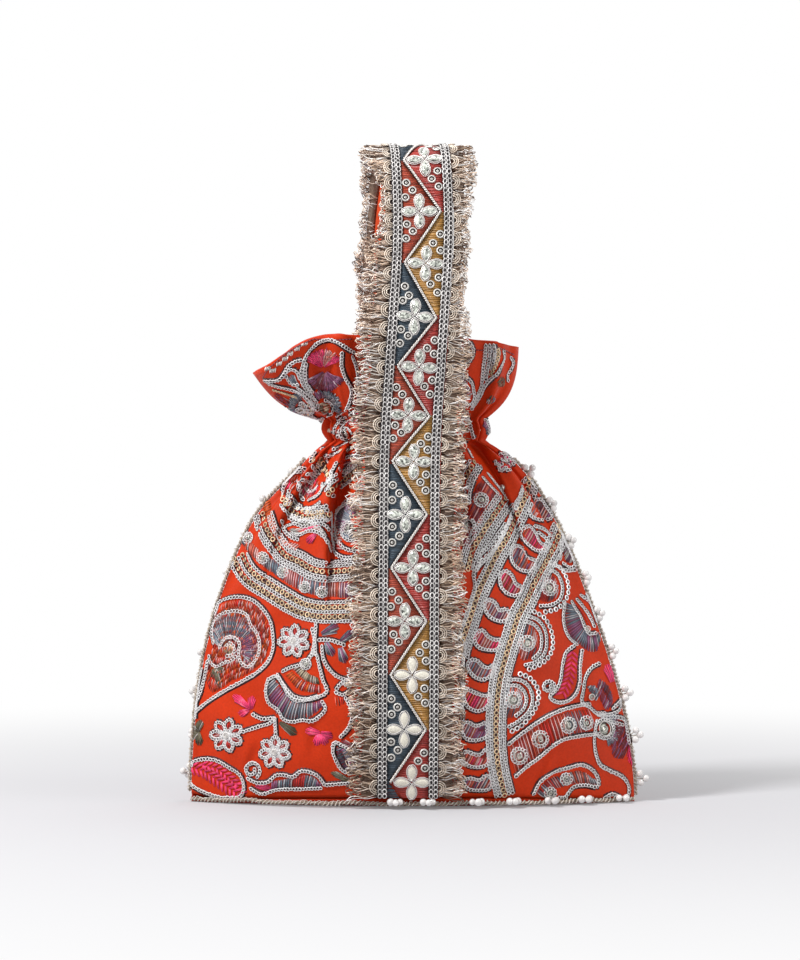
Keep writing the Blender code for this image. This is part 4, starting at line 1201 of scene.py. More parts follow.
def fringe_loops(side, width):
    """Paths of the loops along one edge of the strap: out, round the tip and back, with waves and a little droop."""
    count = int(strap_length / LOOP_PITCH) * 2
    foot = (np.arange(count) + chance.uniform(0, 1, count)) * strap_length / count
    reach = width * (0.66 + 0.4 * chance.uniform(0.0, 1.0, count)) * tuft_share(foot, side)
    lean = chance.normal(0.0, 0.13, count)
    opening = chance.uniform(0.8, 2.2, count) * MM
    wave = chance.uniform(0.35, 1.0, count) * MM
    phase = chance.uniform(0.0, 2 * np.pi, count)
    lift = chance.uniform(0.3, 2.5, count) * MM
    t = np.linspace(0.0, 1.0, LOOP_STEPS)[None]
    back = np.clip((t - LOOP_TIP) / (1.0 - LOOP_TIP), 0.0, 1.0)
    out = np.sin(np.clip(t / LOOP_TIP, 0.0, 1.0) * np.pi / 2) - LOOP_RETURN * back**1.2
    across = side * (STRAP_HALF_WIDTH + SEW_GAP + reach[:, None] * out)
    drift = lean[:, None] * reach[:, None] * out + opening[:, None] * smooth_ramp((t - 0.55) / 0.4)
    distance = foot[:, None] + drift + wave[:, None] * np.sin(11 * t + phase[:, None])
    height = lift[:, None] + 0.8 * MM * np.sin(7 * t + 2 * phase[:, None]) * out
    return on_strap(np.clip(distance, -2 * MM, strap_length + 2 * MM), across, height), strap_up(foot)[:, None]


tape_run = along[::2]
for side, word in ((LEFT, "left"), (RIGHT, "right")):
    fringe = Basket()
    inner = np.full(len(tape_run), side * (STRAP_HALF_WIDTH + SEW_GAP))
    outer = inner + side * 0.5 * FRINGE_WIDTHS[side] * tuft_share(tape_run, side)
    low, high = np.minimum(inner, outer), np.maximum(inner, outer)
    # The strip the loops hang from is coloured dark, as painted shade in the gaps between them.
    strap_strip(fringe, tape_run, low, high, 0.5 * MM, 1.1 * MM, (0.21, 0.14, 0.10))
    paths, ups = fringe_loops(side, FRINGE_WIDTHS[side] - 0.5 * MM)
    colours = FRINGE_COLOURS_AND_PAINTED_LIGHT[chance.integers(0, len(FRINGE_COLOURS_AND_PAINTED_LIGHT), len(paths))]
    fringe.add_threads(paths, ups, LOOP_THREAD, colours)
    middles = np.arange(5.5 * MM, strap_length - 4 * MM, COIL_PITCH)
    middles += chance.normal(0.0, 0.5, len(middles)) * MM
    arc = np.linspace(-0.5, 0.5, 8) * np.pi
    for radius in COIL_RADII:
        across = side * (STRAP_HALF_WIDTH + 0.2 * MM + radius * MM * np.cos(arc))
        coil = on_strap(middles[:, None] + radius * MM * np.sin(arc), across[None], 3.5 * MM)
        tint = chance.uniform(0.7, 1.1, (len(middles), 1)) * COIL_TINT
        fringe.add_threads(coil, strap_up(middles)[:, None], COIL_THREAD, tint)
    loops = fringe.piece(f"loop_fringe_{word}", metal_yarn, "gold_fringe")
    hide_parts(f"fringe_{word}")

# %% [markdown]
# The whole bag is worked in chain stitch, beads and satin stitch, in the old paisley manner: curved bands, paisleys,
# carnations, sprigs and scalloped borders. Such work is planned as a drawing first. So is this one: every line is
# given by a few points, in millimetres to the right of the strap's foot and above the floor, as seen from the front,
# and written as one path of such pairs.
# A smooth line runs through them, and is cut into even steps, one for each stitch.

# %% Drawing lines for the stitches
def at(path):
    """Places in millimetres, as an array, from a table or from a written path of across,up pairs."""
    return np.array([pair.split(",") for pair in path.split()] if isinstance(path, str) else path, float)


def smooth_line(points, pitch, closed=False):
    """A cubic through the points, with slopes from their neighbours, read at even steps of about the pitch."""
    points = at(points)
    if closed:
        points = np.concatenate([points, points[:1]])
    knots = run_along(points)
    slopes = np.gradient(points, knots, axis=0)
    if closed:
        slopes[0] = slopes[-1] = (points[1] - points[-2]) / (knots[1] + knots[-1] - knots[-2])
    fine = np.linspace(0.0, knots[-1], int(knots[-1] / 0.4) + 2)
    piece = np.clip(np.searchsorted(knots, fine, side="right") - 1, 0, len(knots) - 2)
    step = (knots[piece + 1] - knots[piece])[:, None]
    t = (fine[:, None] - knots[piece][:, None]) / step
    start, end = points[piece], points[piece + 1]
    curve = start * (1 - t) ** 2 * (1 + 2 * t) + end * t**2 * (3 - 2 * t)
    curve += step * (slopes[piece] * t * (1 - t) ** 2 - slopes[piece + 1] * t**2 * (1 - t))
    run = run_along(curve)
    return read_at(np.linspace(0.0, run[-1], max(2, round(run[-1] / pitch) + 1)), run, curve)


def turned(points, angle, place):
    """Points turned by an angle in degrees, then moved to a place."""
    a = math.radians(angle)
    matrix = np.array([[math.cos(a), math.sin(a)], [-math.sin(a), math.cos(a)]])
    return np.asarray(points, float) @ matrix + np.asarray(place, float)


def arc_line(centre, radius, start, end, count):
    """Points on an arc, from one angle in degrees to another, 0 to the right and 90 up."""
    angle = np.radians(np.linspace(start, end, count))
    return np.asarray(centre) + radius * np.stack([np.cos(angle), np.sin(angle)], axis=-1)


print("a smooth line of", len(smooth_line([(0, 0), (10, 5), (20, 0)], 1.4)), "stitches")

# %% [markdown]
# Four kinds of work are collected: chain lines, rows of ring sequins, satin stitches that go from one edge of a
# shape to the other, and mirror discs. The colours are those of dyed floss, except the one named shade, a near-black
# that paints the shade under the chain loops and the rows of rings.

# %% Kinds of embroidery
CHAIN_PITCH = 1.5
SEQUIN_GAP = 2.5
SATIN_PITCH = 0.62
FLOSS = {
    "slate": (0.150, 0.180, 0.225),
    "purple": (0.260, 0.090, 0.180),
    "maroon": (0.200, 0.025, 0.040),
    "coral": (0.640, 0.130, 0.080),
    "red": (0.560, 0.035, 0.030),
    "pink": (0.800, 0.045, 0.160),
    "olive": (0.125, 0.105, 0.060),
    "cream": (0.560, 0.460, 0.330),
    "white": (0.740, 0.700, 0.660),
    "gold": (0.760, 0.560, 0.350),
    "orange": (0.700, 0.120, 0.020),
    "silver": (0.930, 0.910, 0.905),
    # not a floss: painted shade, the near-black of the strips under the chain loops and the ring rows
    "shade": (0.055, 0.014, 0.018),
}
# chance that a light stitch of each floss is painted pale, as painted sheen
FLOSS_SHINE = {"slate": 0.5, "coral": 0.6, "red": 0.55, "cream": 0.3, "pink": 0.0}
chain_lines, ring_rows, satin_work, disc_work = [], [], [], []


def floss_tints(names, picks):
    """Painted light and shade: light and dark stitches by turns, standing in for twisted silk catching the light, and
    some of the light ones painted pale as sheen.
    """
    count = len(picks)
    colours = np.array([FLOSS[name] for name in names])[picks]
    shine = np.array([FLOSS_SHINE.get(name, 0.1) for name in names])[picks]
    # painted highlight and shade: even stitches lighter, odd ones darker
    bright = np.where(np.arange(count) % 2 == 0, chance.uniform(1.0, 1.6, count), chance.uniform(0.35, 0.8, count))
    # painted sheen: the share of pale grey mixed into some of the light stitches
    pale = 0.6 * (chance.random(count) < shine) * (np.arange(count) % 2 == 0)
    return colours * bright[:, None] * (1 - pale[:, None]) + np.array([0.78, 0.72, 0.72]) * pale[:, None]


def chain(*lines, closed=False):
    """Chain stitches along smooth lines."""
    chain_lines.extend(smooth_line(line, CHAIN_PITCH, closed) for line in lines)


def ring_row(*lines, colour="gold", radius=1.1):
    """Ring sequins side by side along smooth lines."""
    ring_rows.extend((smooth_line(line, SEQUIN_GAP * radius), radius, FLOSS[colour]) for line in lines)


def band(line, chains, rings=(), colour="gold"):
    """Chain lines and rows of rings side by side, at offsets in millimetres to the left of one line."""
    line = smooth_line(line, 2.0)
    ahead = unit(np.gradient(line, axis=0))
    left = np.stack([-ahead[:, 1], ahead[:, 0]], axis=-1)
    chain(*[line + left * offset for offset in chains])
    ring_row(*[line + left * offset for offset in rings], colour=colour)


def satin(edge_a, edge_b, colours, pitch=SATIN_PITCH, ease=True):
    """Stitches side by side from one edge to the other; the colours, given as words, change along the edges."""
    colours = colours.split()
    if ease:
        edge_a, edge_b = smooth_line(edge_a, 0.3), smooth_line(edge_b, 0.3)
    longest = max(run_along(edge_a)[-1], run_along(edge_b)[-1])
    count = max(3, int(longest / pitch))
    starts, ends = (read_at(np.linspace(0, run_along(e)[-1], count), run_along(e), e) for e in (edge_a, edge_b))
    along = np.linspace(0, len(colours) - 1, count) + chance.normal(0.0, 0.22, count)
    tint = floss_tints(colours, np.clip(np.round(along), 0, len(colours) - 1).astype(int))
    jitter = chance.normal(0.0, 0.12, (2, count, 2))
    satin_work.append((starts + jitter[0], ends + jitter[1], tint))


def filling(outline, angle, colours, pitch=SATIN_PITCH, stitch=4.0):
    """Parallel stitches that fill an outline, cut to at most a stitch's length, in any of the colours."""
    colours = colours.split()
    edge = turned(smooth_line(outline, 0.5, closed=True), -angle, (0, 0))
    low, high = edge[:, 1].min(), edge[:, 1].max()
    starts, ends = [], []
    for level in np.arange(low + pitch / 2, high, pitch):
        above = edge[:, 1] > level
        crossing = np.flatnonzero(above != np.roll(above, -1))
        a, b = edge[crossing], edge[(crossing + 1) % len(edge)]
        places = np.sort(a[:, 0] + (level - a[:, 1]) / (b[:, 1] - a[:, 1]) * (b[:, 0] - a[:, 0]))
        for left, right in zip(places[::2], places[1::2]):
            cuts = np.linspace(left, right, max(2, int((right - left) / stitch) + 2))
            starts.extend((cut, level) for cut in cuts[:-1])
            ends.extend((cut + 0.3, level) for cut in cuts[1:])
    starts, ends = turned(starts, angle, (0, 0)), turned(ends, angle, (0, 0))
    tint = floss_tints(colours, chance.integers(0, len(colours), len(starts)))
    jitter = chance.normal(0.0, 0.12, (2, len(starts), 2))
    satin_work.append((starts + jitter[0], ends + jitter[1], tint))


def fan(centre, inner, outer, start, end, colours, lobes=0, outlined=True):
    """Satin from an inner to an outer arc, as a carnation's head; the outer edge may be lobed."""
    angle = np.linspace(start, end, 61)
    lobe = 0.07 * outer * np.abs(np.sin(np.pi * lobes * (angle - start) / (end - start))) if lobes else 0.0
    direction = arc_line((0, 0), 1.0, start, end, len(angle))
    rim = np.asarray(centre) + direction * (outer + np.broadcast_to(lobe, angle.shape))[:, None]
    frayed = rim + direction * chance.normal(0.0, 0.055 * outer, (len(angle), 1))
    satin(np.asarray(centre) + direction * inner, frayed, colours, 0.42, ease=False)
    satin(np.asarray(centre) + direction * (inner + outer) * 0.5, frayed + direction * 0.4, colours, 0.7, ease=False)
    if outlined:
        chain_lines.append(smooth_line((rim + direction)[::3], CHAIN_PITCH))


def leaf(base, tip, width, colours):
    """A small petal of long stitches that spread from its base to a rounded end."""
    base, tip = np.asarray(base, float), np.asarray(tip, float)
    across = np.linspace(-0.5, 0.5, 7)[:, None]
    axis = tip - base
    side = np.array([-axis[1], axis[0]]) / np.linalg.norm(axis) * width
    satin(base + 0.35 * side * across, base + axis * (1 - across**2) + side * across, colours, 0.55, ease=False)


def sprig(centre, angle, length, colours, leaves=3):
    """Leaves that spread from one point."""
    for turn_by in np.linspace(-52, 52, leaves):
        tip = turned([(length, 0.0)], -(angle + turn_by), centre)[0]
        leaf(centre, tip, 0.36 * length, colours)


def petal_flower(centre, radius, petals=6, angle=0.0, heart="red"):
    """A flower of looped chain petals round a bead."""
    share = np.linspace(0.0, 1.0, 9)
    half = 0.30 * radius * np.sin(np.pi * share) ** 0.7 * (0.6 + 0.5 * share)
    there, back = np.stack([share * radius, half], -1), np.stack([share * radius, -half], -1)[-2:0:-1]
    loop = np.concatenate([there, back])
    for number in range(petals):
        around = angle + 360 * number / petals
        placed = turned(loop, -around, centre)
        chain_lines.append(smooth_line(placed, CHAIN_PITCH * 0.9, closed=True))
        tip = turned([(0.35 * radius, 0.0), (0.8 * radius, 0.0)], -around, centre)
        leaf(tip[0], tip[1], 0.2 * radius, heart)
    disc(centre, 0.22 * radius)


def disc(centre, radius, ringed=False):
    """A mirror disc, and for the large ones a ring of chain stitches round it."""
    disc_work.append((centre, radius))
    if ringed:
        chain_lines.append(smooth_line(arc_line(centre, radius - 0.1, 0, 330, 12), CHAIN_PITCH, closed=True))


def feather(line, length, colour):
    """Pairs of slanting stitches on both sides of a line."""
    spine = smooth_line(line, 2.5)
    ahead = unit(np.gradient(spine, axis=0))
    side = np.stack([-ahead[:, 1], ahead[:, 0]], axis=-1)
    tint = np.array(FLOSS[colour]) * chance.uniform(0.85, 1.3, (len(spine), 1))
    for sign, shift in ((-1, -0.3), (-1, 0.3), (1, -0.3), (1, 0.3)):
        foot = spine + ahead * shift
        satin_work.append((foot, foot + length * (0.75 * side * sign + 0.65 * ahead), tint))


def running_stitches(line, colour="maroon"):
    """Small stitches end to end along a line. Along the ruffle's hem, in maroon, they are painted shade of the folded
    edge.
    """
    line = smooth_line(line, 1.7)
    satin_work.append((line[:-1], line[1:], np.tile(FLOSS[colour], (len(line) - 1, 1))))


def hem_stitches(spots):
    """Little squares of three cream stitches, which catch the folded hem."""
    for spot in at(spots):
        satin(spot + [[-1.3, -1.1], [1.1, -0.6]], spot + [[-0.8, 1.0], [1.5, 1.4]], "white", 0.33)


def spiral(centre, radius, start, turns_round, inward=0.35):
    """A chain that curls in round a centre."""
    share = np.linspace(0.0, 1.0, 17)
    reach = radius * (1 - (1 - inward) * share)
    chain(arc_line(centre, reach[:, None], start, start + 360 * turns_round, 17))


print("floss colours:", len(FLOSS))

# %% [markdown]
# The left half of the body: a curved band with mirror discs at the top, then a big paisley that holds a carnation,
# a bell-shaped flower on its stem, small looped flowers, and a feathered paisley in the lower corner.

# %% Left half of the body
band("-91.5,122 -88,115 -83,109.5 -77,105.5 -71.5,102 -65,98 -57.5,94 -49,92 -30.5,92", (0, 4.7, 9.4), (2.4, 7.1))
band("-77.5,145 -75.5,137.5 -70.5,129 -65,122.5 -58.5,119.5 -51.5,115.5 -44,114 -34,114.5 -25.5,115.5", (-1.9, 0, 5.2,
    7.2), (2.6,))
band("-67,151.5 -63.5,146.5 -58.5,143 -53.5,141.5 -47.5,142 -41.5,143", (0, 4.6, 6.6), (2.3,))
chain(
    "-64,139 -59,140.5 -54,139 -49,141 -44,140 -41,135 -39.5,128.5",
    "-61.5,136 -56.5,135 -52.5,137 -47.5,136.5 -43,132 -41.5,126.5",
    "-66,142.5 -64.5,137.5 -61,134 -57,132.5",
)
filling("-62,138 -54.5,138 -47.5,139 -43.5,135.5 -47.5,137.5 -54.5,136 -60.5,135.5", 10, "white coral white")
satin("-71.5,152.5 -69,142.5 -63,132.5 -56.5,130", "-75.5,150 -72.5,140.5 -66.5,130.5 -59.5,127", "orange coral")
satin("-85,137.5 -77.5,128 -68,121.5 -56.5,115.5 -44,112 -30.5,111", "-86.5,132 -81.5,125.5 -73.5,118.5 -64.5,112 "
    "-55.5,107 -30.5,103", "slate coral slate red slate coral purple")
for place in at("-82.5,133.5 -75,123.5 -65,116.5 -54,109 -45.5,106.5 -30.5,107.5"):
    disc(place, 2.4, ringed=True)
leaf((-46.5, 140.5), (-59, 138.5), 4.5, "olive cream pink")
leaf((-48.5, 135.5), (-53, 131), 3.5, "pink")

paisley = at("-101,95 -99,99.5 -94.5,102.5 -87.5,104 -80.5,102.5 -75.5,98.5 -71.5,92.5 -70,85 -70,77.5 -72.5,71.5 "
    "-77.5,66.5 -84,62.5 -91.5,58.5 -99,54 -106.5,48.5 -111.5,43.5")
chain(paisley, "-102.5,72.5 -104,65 -106.5,55 -110.5,46.5")
filling("-100,92.5 -94.5,100.5 -86.5,102 -78.5,99.5 -73.5,92.5 -72,82.5 -74.5,72.5 -81.5,66.5 -91.5,61.5 -100.5,56.5 "
    "-103.5,62.5 -100.5,77.5", 78, "coral coral red orange", pitch=0.8, stitch=3.0)
satin("-96,79 -95,82 -91,83.5 -87.5,81.5 -86.5,77.5 -84.5,74", "-99.5,81.5 -100,88 -96,94.5 -88.5,96 -82,92.5 "
    "-78.5,85.5 -77.5,77.5 -80,71.5 -84,70", "slate slate slate purple slate", 0.7)
chain(
    "-99.5,80.5 -100.5,87 -97,94.5 -92.5,96.5 -88,97 -82.5,94.5 -81,90 -78,86 -76.5,78.5 -78.5,72.5 -82.5,69 -86,71.5 "
        "-87,76.5 -86.5,81 -90,84 -94,83 -96.5,78.5",
    "-102,75 -101,71 -98,69 -94.5,71 -91,72 -88,74.5",
    "-93.5,79.5 -91,81 -89,78.5 -90,75 -93,74.5",
    "-107,68.5 -108.5,61.5 -109.5,54 -111.5,48.5",
)
filling("-94,80 -90.5,80.5 -89,77.5 -91,74.5 -94,75.5", 80, "cream gold olive", pitch=0.6)
for tip in at("-100.5,63.5 -96.5,58.5 -94.5,66.5"):
    leaf((-98, 69), tip, 3.4, "olive")
leaf((-108, 63.5), (-109, 55.5), 3.0, "slate")

petal_flower((-59.5, 82), 7.8, petals=7, angle=20)
petal_flower((-93, 35), 8.2, petals=7, angle=180)
petal_flower((-69, 26.5), 7.8, petals=7, angle=170)
chain(
    "-72.5,62.5 -73.5,56.5 -72,51 -67,47 -65,43 -60.5,41.5 -55,42.5 -50.5,42 -46.5,44.5 -43.5,48.5 -45.5,52",
    "-65.5,66.5 -61.5,68.5 -54,71 -49,76.5 -46.5,68.5 -45,62.5 -43,56.5 -47.5,54 -54,52.5 -58.5,52.5 -62.5,55.5 "
        "-65,60.5 -68.5,64.5 -72.5,62.5",
)
satin("-69,63 -64.5,56.5 -59.5,52 -52.5,51 -45.5,52.5", "-72.5,59.5 -71.5,51 -64.5,43 -55,42.5 -44.5,49.5",
    "slate purple slate slate purple", 0.8)
chain("-68,65.5 -64,59.5 -59.5,54.5 -53.5,53 -47.5,54.5")
satin("-63.5,64.5 -56.5,57.5 -46.5,56", "-60.5,66.5 -53.5,61.5 -46.5,59.5", "orange red")
satin("-59.5,67.5 -53.5,62 -46.5,60", "-56.5,69 -51.5,65.5 -47.5,63.5", "olive cream olive")
disc((-53.5, 70.5), 2.4, ringed=True)
chain(
    "-45.5,80 -44.5,72.5 -41.5,67.5 -36.5,63.5 -32.5,62.5",
    "-47.5,82.5 -41.5,82.5 -34,80",
    "-50.5,88.5 -49,82.5 -48.5,75",
    "-80.5,45.5 -75.5,43 -69,43.5",
    "-85.5,36.5 -77.5,39 -70.5,41.5 -69,43.5",
    "-69,43.5 -68.5,35",
    "-113.5,20 -109,22 -99,22.5 -91.5,18.5 -86.5,15 -84.5,10 -85.5,5 -90.5,3 -99,4.5 -106.5,7.5 -112.5,11",
    "-83,13.5 -77.5,11 -72.5,11.5 -68,15 -64,15 -60,14 -56,17 -51.5,16.5 -47.5,14.5 -44,10",
    "-81.5,8.5 -75.5,5.5 -69,7.5 -56.5,8 -45.5,8.5",
    "-44,10 -37.5,10.5 -30.5,11",
)
chain(
    "-38.5,57.5 -35.5,61 -31.5,63",
    "-39,56.5 -35,55 -31,57.5",
    "-35.5,61.5 -32,59.5 -29.5,60.5",
    "-48.5,91.5 -48.5,87.5 -49.5,79.5 -50.5,74.5",
)
chain("-34,54 -31.5,49.5 -30.5,43.5 -32.5,38 -36.5,34")
satin("-39,54 -35,54.5", "-38,49.5 -34.5,50.5", "coral red", 0.9)
for base, tip in zip(at("-45.5,85.5 -36.5,81.5 -43.5,81.5 -36.5,78.5"), at("-37,89.5 -29,87 -40,74.5 -34,71")):
    leaf(base, tip, 4.8, "slate slate purple slate")
for base, tip in zip(at("-81,48 -81,48 -82,47.5 -46.5,36 -46,36 -47,35.5 -45.5,35.5"), at("-90,55 -80.5,54.5 -87,45 "
    "-54,37.5 -40,34 -48.5,29.5 -43.5,30")):
    leaf(base, tip, 3.8, "pink")
for tip in at("-106,42.5 -112,39 -111.5,33 -106.5,29.5"):
    leaf((-107.5, 36.5), tip, 3.8, "olive")
leaf((-66.5, 41), (-58, 35), 4.2, "olive")
feather("-111,19 -105,17 -98.5,13 -92,8.5 -87.5,5.5", 4.6, "pink")
feather("-105,20 -99,18.5 -93.5,15 -88.5,10.5", 3.4, "pink")
spiral((-80.5, 17.5), 4.6, 300, 1.25)
satin("-70.5,12 -64,13 -56.5,15 -50.5,14.5 -46,10.5", "-70.5,8 -64,8.5 -56.5,9 -50.5,9 -46,9",
    "purple slate red slate purple")
leaf((-78.5, 9.5), (-70.5, 8), 2.6, "pink")
chain("-39,31.5 -40,26.5 -38,21.5 -35,17 -30.5,16 -28,19 -28.5,24 -31.5,27.5 -35,29.5", closed=True)
filling("-38,28.5 -34.5,28 -30.5,24 -29.5,19 -33.5,18 -37,22.5", 25, "slate purple")
leaf((-30.5, 11.5), (-41, 16.5), 3.0, "olive")
leaf((-28, 28.5), (-36.5, 32), 3.0, "maroon")
print("left half drawn:", len(chain_lines), "chain lines")

# %% [markdown]
# Above it the cloth folds deeply. A leaf, a carnation and a heart lie on the shoulder, and short chains run into
# the gathers. The ruffle has its own scalloped flowers, small squares of stitches that hold its hem, and a line of
# small dark stitches along the hem that paints the shade of its folded edge.

# %% Left shoulder and left ruffle
chain(
    "-47.5,175 -41.5,174.5 -35.5,177 -29,179 -25.5,181",
    "-46,178 -41,177.5 -35.5,180 -28.5,182.5 -25.5,184",
    "-48.5,176.5 -51,173 -50,168.5 -45.5,164.5 -42,161.5",
    "-44.5,175 -42.5,171 -41,166.5 -40.5,161.5",
    "-38,171.5 -40,167.5 -41.5,162.5 -42,157.5",
    "-36.5,172 -30.5,174.5 -26,174 -30,168.5 -35,166 -37.5,168.5",
    "-40,182.5 -39.5,187.5 -36.5,192",
    "-38,182 -37,186.5 -34,190",
    "-65,154 -64.5,159.5 -61.5,164 -57,166.5 -52,165.5 -48,162.5 -46,158.5",
    "-62.5,153 -61.5,158 -58.5,161.5 -54,162.5 -50.5,160.5",
    "-64.5,151.5 -60,149 -55,148 -50,148.5 -46,151.5",
    "-56,163.5 -52.5,165.5 -48.5,165 -45.5,161.5 -45.5,157.5 -48,154.5 -52,152.5",
    "-52,150.5 -55.5,153.5 -57.5,157.5 -57,161.5",
    "-67,159.5 -64,163.5 -61,166.5 -57.5,168.5 -53.5,168",
    "-65,148 -61,145 -55.5,143 -50.5,143 -45.5,144.5 -42.5,142",
    "-62.5,144 -58.5,141.5 -54,142.5 -50,141 -46.5,138.5 -44,134",
    "-52,160.5 -50,162 -48,160.5 -48.5,157.5 -51,156.5",
    "-41,160.5 -43,163.5 -45.5,167 -48,170.5",
    "-58.5,163.5 -56.5,159.5 -57,155.5",
    "-54,159 -51.5,156 -48.5,155.5",
    "-28.5,152.5 -34,150 -38,146.5 -39.5,140.5 -38.5,133.5 -34.5,128.5 -28.5,126.5",
    "-41,146.5 -41,138.5 -40.5,130 -38.5,125.5 -33.5,123.5 -27.5,124.5",
    "-34.5,142 -36,138.5 -35,134.5 -31.5,132 -27.5,133",
)
ring_row("-65,154 -61,150.5 -56.5,147.5 -51,146 -45.5,146.5", "-49,173 -46,169.5 -42.5,165.5", radius=1.0)
filling("-56,161.5 -52.5,163.5 -48,163 -47.5,157.5 -51,154 -55,155", 70, "coral red pink", pitch=0.7)
ring_row("-49.5,172 -46.5,168.5 -43,165", "-36,177 -31.5,178 -27.5,180", "-46.5,173 -44,169 -42,164.5")
band("-40.5,154 -36.5,158.5 -32,161.5 -25.5,166.5", (0, 4.4, 6.4), (2.2,))
filling("-35,171 -31,173 -27.5,172.5 -31,169 -34,167.5", 20, "pink red maroon", pitch=0.7)
filling("-54.5,161.5 -50.5,162.5 -48.5,158.5 -52,153 -56,154.5 -57,158.5", 60, "coral red coral", pitch=0.8)
filling("-63.5,158.5 -61.5,163 -58,164.5 -58.5,161 -61,157.5", 60, "pink coral", pitch=0.8)
filling("-47.5,173.5 -43.5,172 -44.5,168.5 -47.5,170", 20, "olive gold olive", pitch=0.7)
fan((-28.5, 141.5), 3.0, 9.5, 95, 215, "purple slate purple", lobes=3)
disc((-32.5, 138.5), 2.8, ringed=True)
sprig((-30.5, 132.5), 265, 8.0, "slate")
satin("-39.5,141.5 -39,127.5", "-36,141.5 -35.5,127.5", "red coral red")
chain(
    "-29,226 -34,229 -37,231 -40.5,232.5 -44.5,232.5 -48.5,230.5 -52,227 -54,223.5 -55,219.5 -56,215 -55.5,211.5 "
        "-53.5,208 -50.5,204.5 -48,201.5",
    "-35.5,226.5 -35.5,218.5 -33.5,213 -31,208 -31.5,202 -34,197 -39,194",
    "-53.5,221 -54,215.5 -53,210.5 -50,206.5",
    "-74.5,212 -71,212 -67,212.5 -64.5,215.5 -62,219.5 -58.5,222 -55.5,222.5",
    "-63.5,215 -62,212 -59.5,210 -57,210.5",
    "-64,216 -61,218 -58,216.5 -56.5,213",
    "-73,211 -68.5,209.5 -62.5,208 -57.5,206.5 -52,202 -48.5,199.5",
    "-58,209 -54.5,206 -51,201.5 -49.5,197.5",
    "-52,192 -49,193 -44.5,193.5 -41,195.5 -40,199 -41.5,201.5 -44.5,202.5",
    "-47.5,200.5 -48,197 -46.5,194.5",
    "-37.5,192.5 -31.5,195 -26.5,198.5",
    "-36.5,190.5 -31,192.5 -26,196",
    "-30.5,224.5 -28.5,219.5 -27.5,212.5 -27.5,203.5",
)
fan((-45, 218.5), 1.0, 8.8, 25, 155, "pink coral pink pink", outlined=False)
fan((-44, 217), 1.2, 9.8, 205, 335, "purple maroon purple purple", outlined=False)
fan((-44.5, 199), 4.6, 8.0, -20, 125, "slate slate purple", outlined=False)
filling("-47,200.5 -43.5,201 -42,198.5 -43.5,195.5 -47,196", 20, "cream olive cream", pitch=0.7)
leaf((-58, 210), (-61.5, 215), 3.6, "slate")
petal_flower((-53.5, 197.5), 4.8, petals=6, heart="cream")
fan((-53.5, 197.5), 5.6, 9.2, 110, 215, "slate slate purple", outlined=False)
filling("-69,206 -65,204.5 -61,201 -62,199 -66,201 -69,204", 150, "purple purple maroon", pitch=0.7)
ring_row("-69.5,207.5 -64.5,206 -58.5,204", radius=0.6)
disc((-33.5, 185.5), 3.0, ringed=True)
filling("-33.5,192.5 -30,194.5 -26.5,196.5 -26,193.5 -30,190.5 -32.5,188.5", 40, "red pink maroon", pitch=0.7)
hem_stitches("-72.5,218 -70,217 -67,220.5 -64,223 -61.5,225.5 -58,228 -54.5,230.5")
# maroon running stitches along the hem: painted shade of the folded edge
running_stitches("-75,213.5 -72.5,217.5 -68.5,221.5 -64,225.5 -59,229.5 -54,232.5 -47.5,233 -39,232.5 -30.5,233")
print("with the left shoulder and ruffle:", len(chain_lines), "chain lines")

# %% [markdown]
# The right half is all curved bands that sweep down from the shoulder, close together: chain lines with rows of ring
# sequins between them, a column of half-moon petals, and a border of scallops. Paisleys and carnations fill the rest.

# %% Right half of the body
chain(
    "26,182.5 27.5,177.5 29.5,173.5",
    "55,162.5 53.5,155 50,148.5 47.5,141.5 43.5,132.5 38.5,125 33.5,120 30.5,116 31,108.5 28.5,100 26,92.5",
    "26,82.5 25,72.5 24.5,62.5 24.5,42.5",
    "34.5,164 38.5,159.5 42.5,155.5",
    "37,166 40.5,161.5 44.5,156.5 47.5,152.5",
    "46,141 42,135 37.5,129 32.5,124.5",
    "60.5,139.5 65,138 69,134.5",
    "62,136.5 66,133.5 68.5,130",
)
band("28.5,172.5 24.5,165 22,157.5 21.5,151", (0, 4.4, 6.4), (2.2,))
band("44,154.5 39,147 33,138 27.5,128 25,118.5", (-2.0, 0, 4.7, 6.8), (2.4,))
ring_row("51.5,148.5 48,141.5 43,132.5 37,124.5 30.5,118.5", colour="silver")
band("62.5,162.5 60.5,154.5 57.5,147 54,139.5 50,130.5 46,124 42.5,117 40,112 36.5,104.5 34,97 31.5,89.5 29,82 "
    "27,73.5", (0, -2.0, -6.4), (-4.2,))
band("70.5,141 66.5,131 62,122.5 57,113.5 53,104.5 48.5,96 45.5,86.5 42,75 39,62.5 37.5,50 37,35 38,20 41.5,4", (0,
    2.0, 6.5, 8.5), (4.3,))
petal_flower((46, 171.5), 5.0, petals=6, heart="pink")
disc((45.5, 159), 1.8)
disc((21, 170), 1.8)
filling("35,162.5 42.5,154.5 38.5,147.5 32.5,137.5 26.5,126.5 23,132.5 25,144.5 29.5,154.5", 62,
    "maroon coral maroon red", pitch=0.7, stitch=7.0)
disc((34, 152.5), 3.2, ringed=True)
disc((27.5, 140), 3.2, ringed=True)
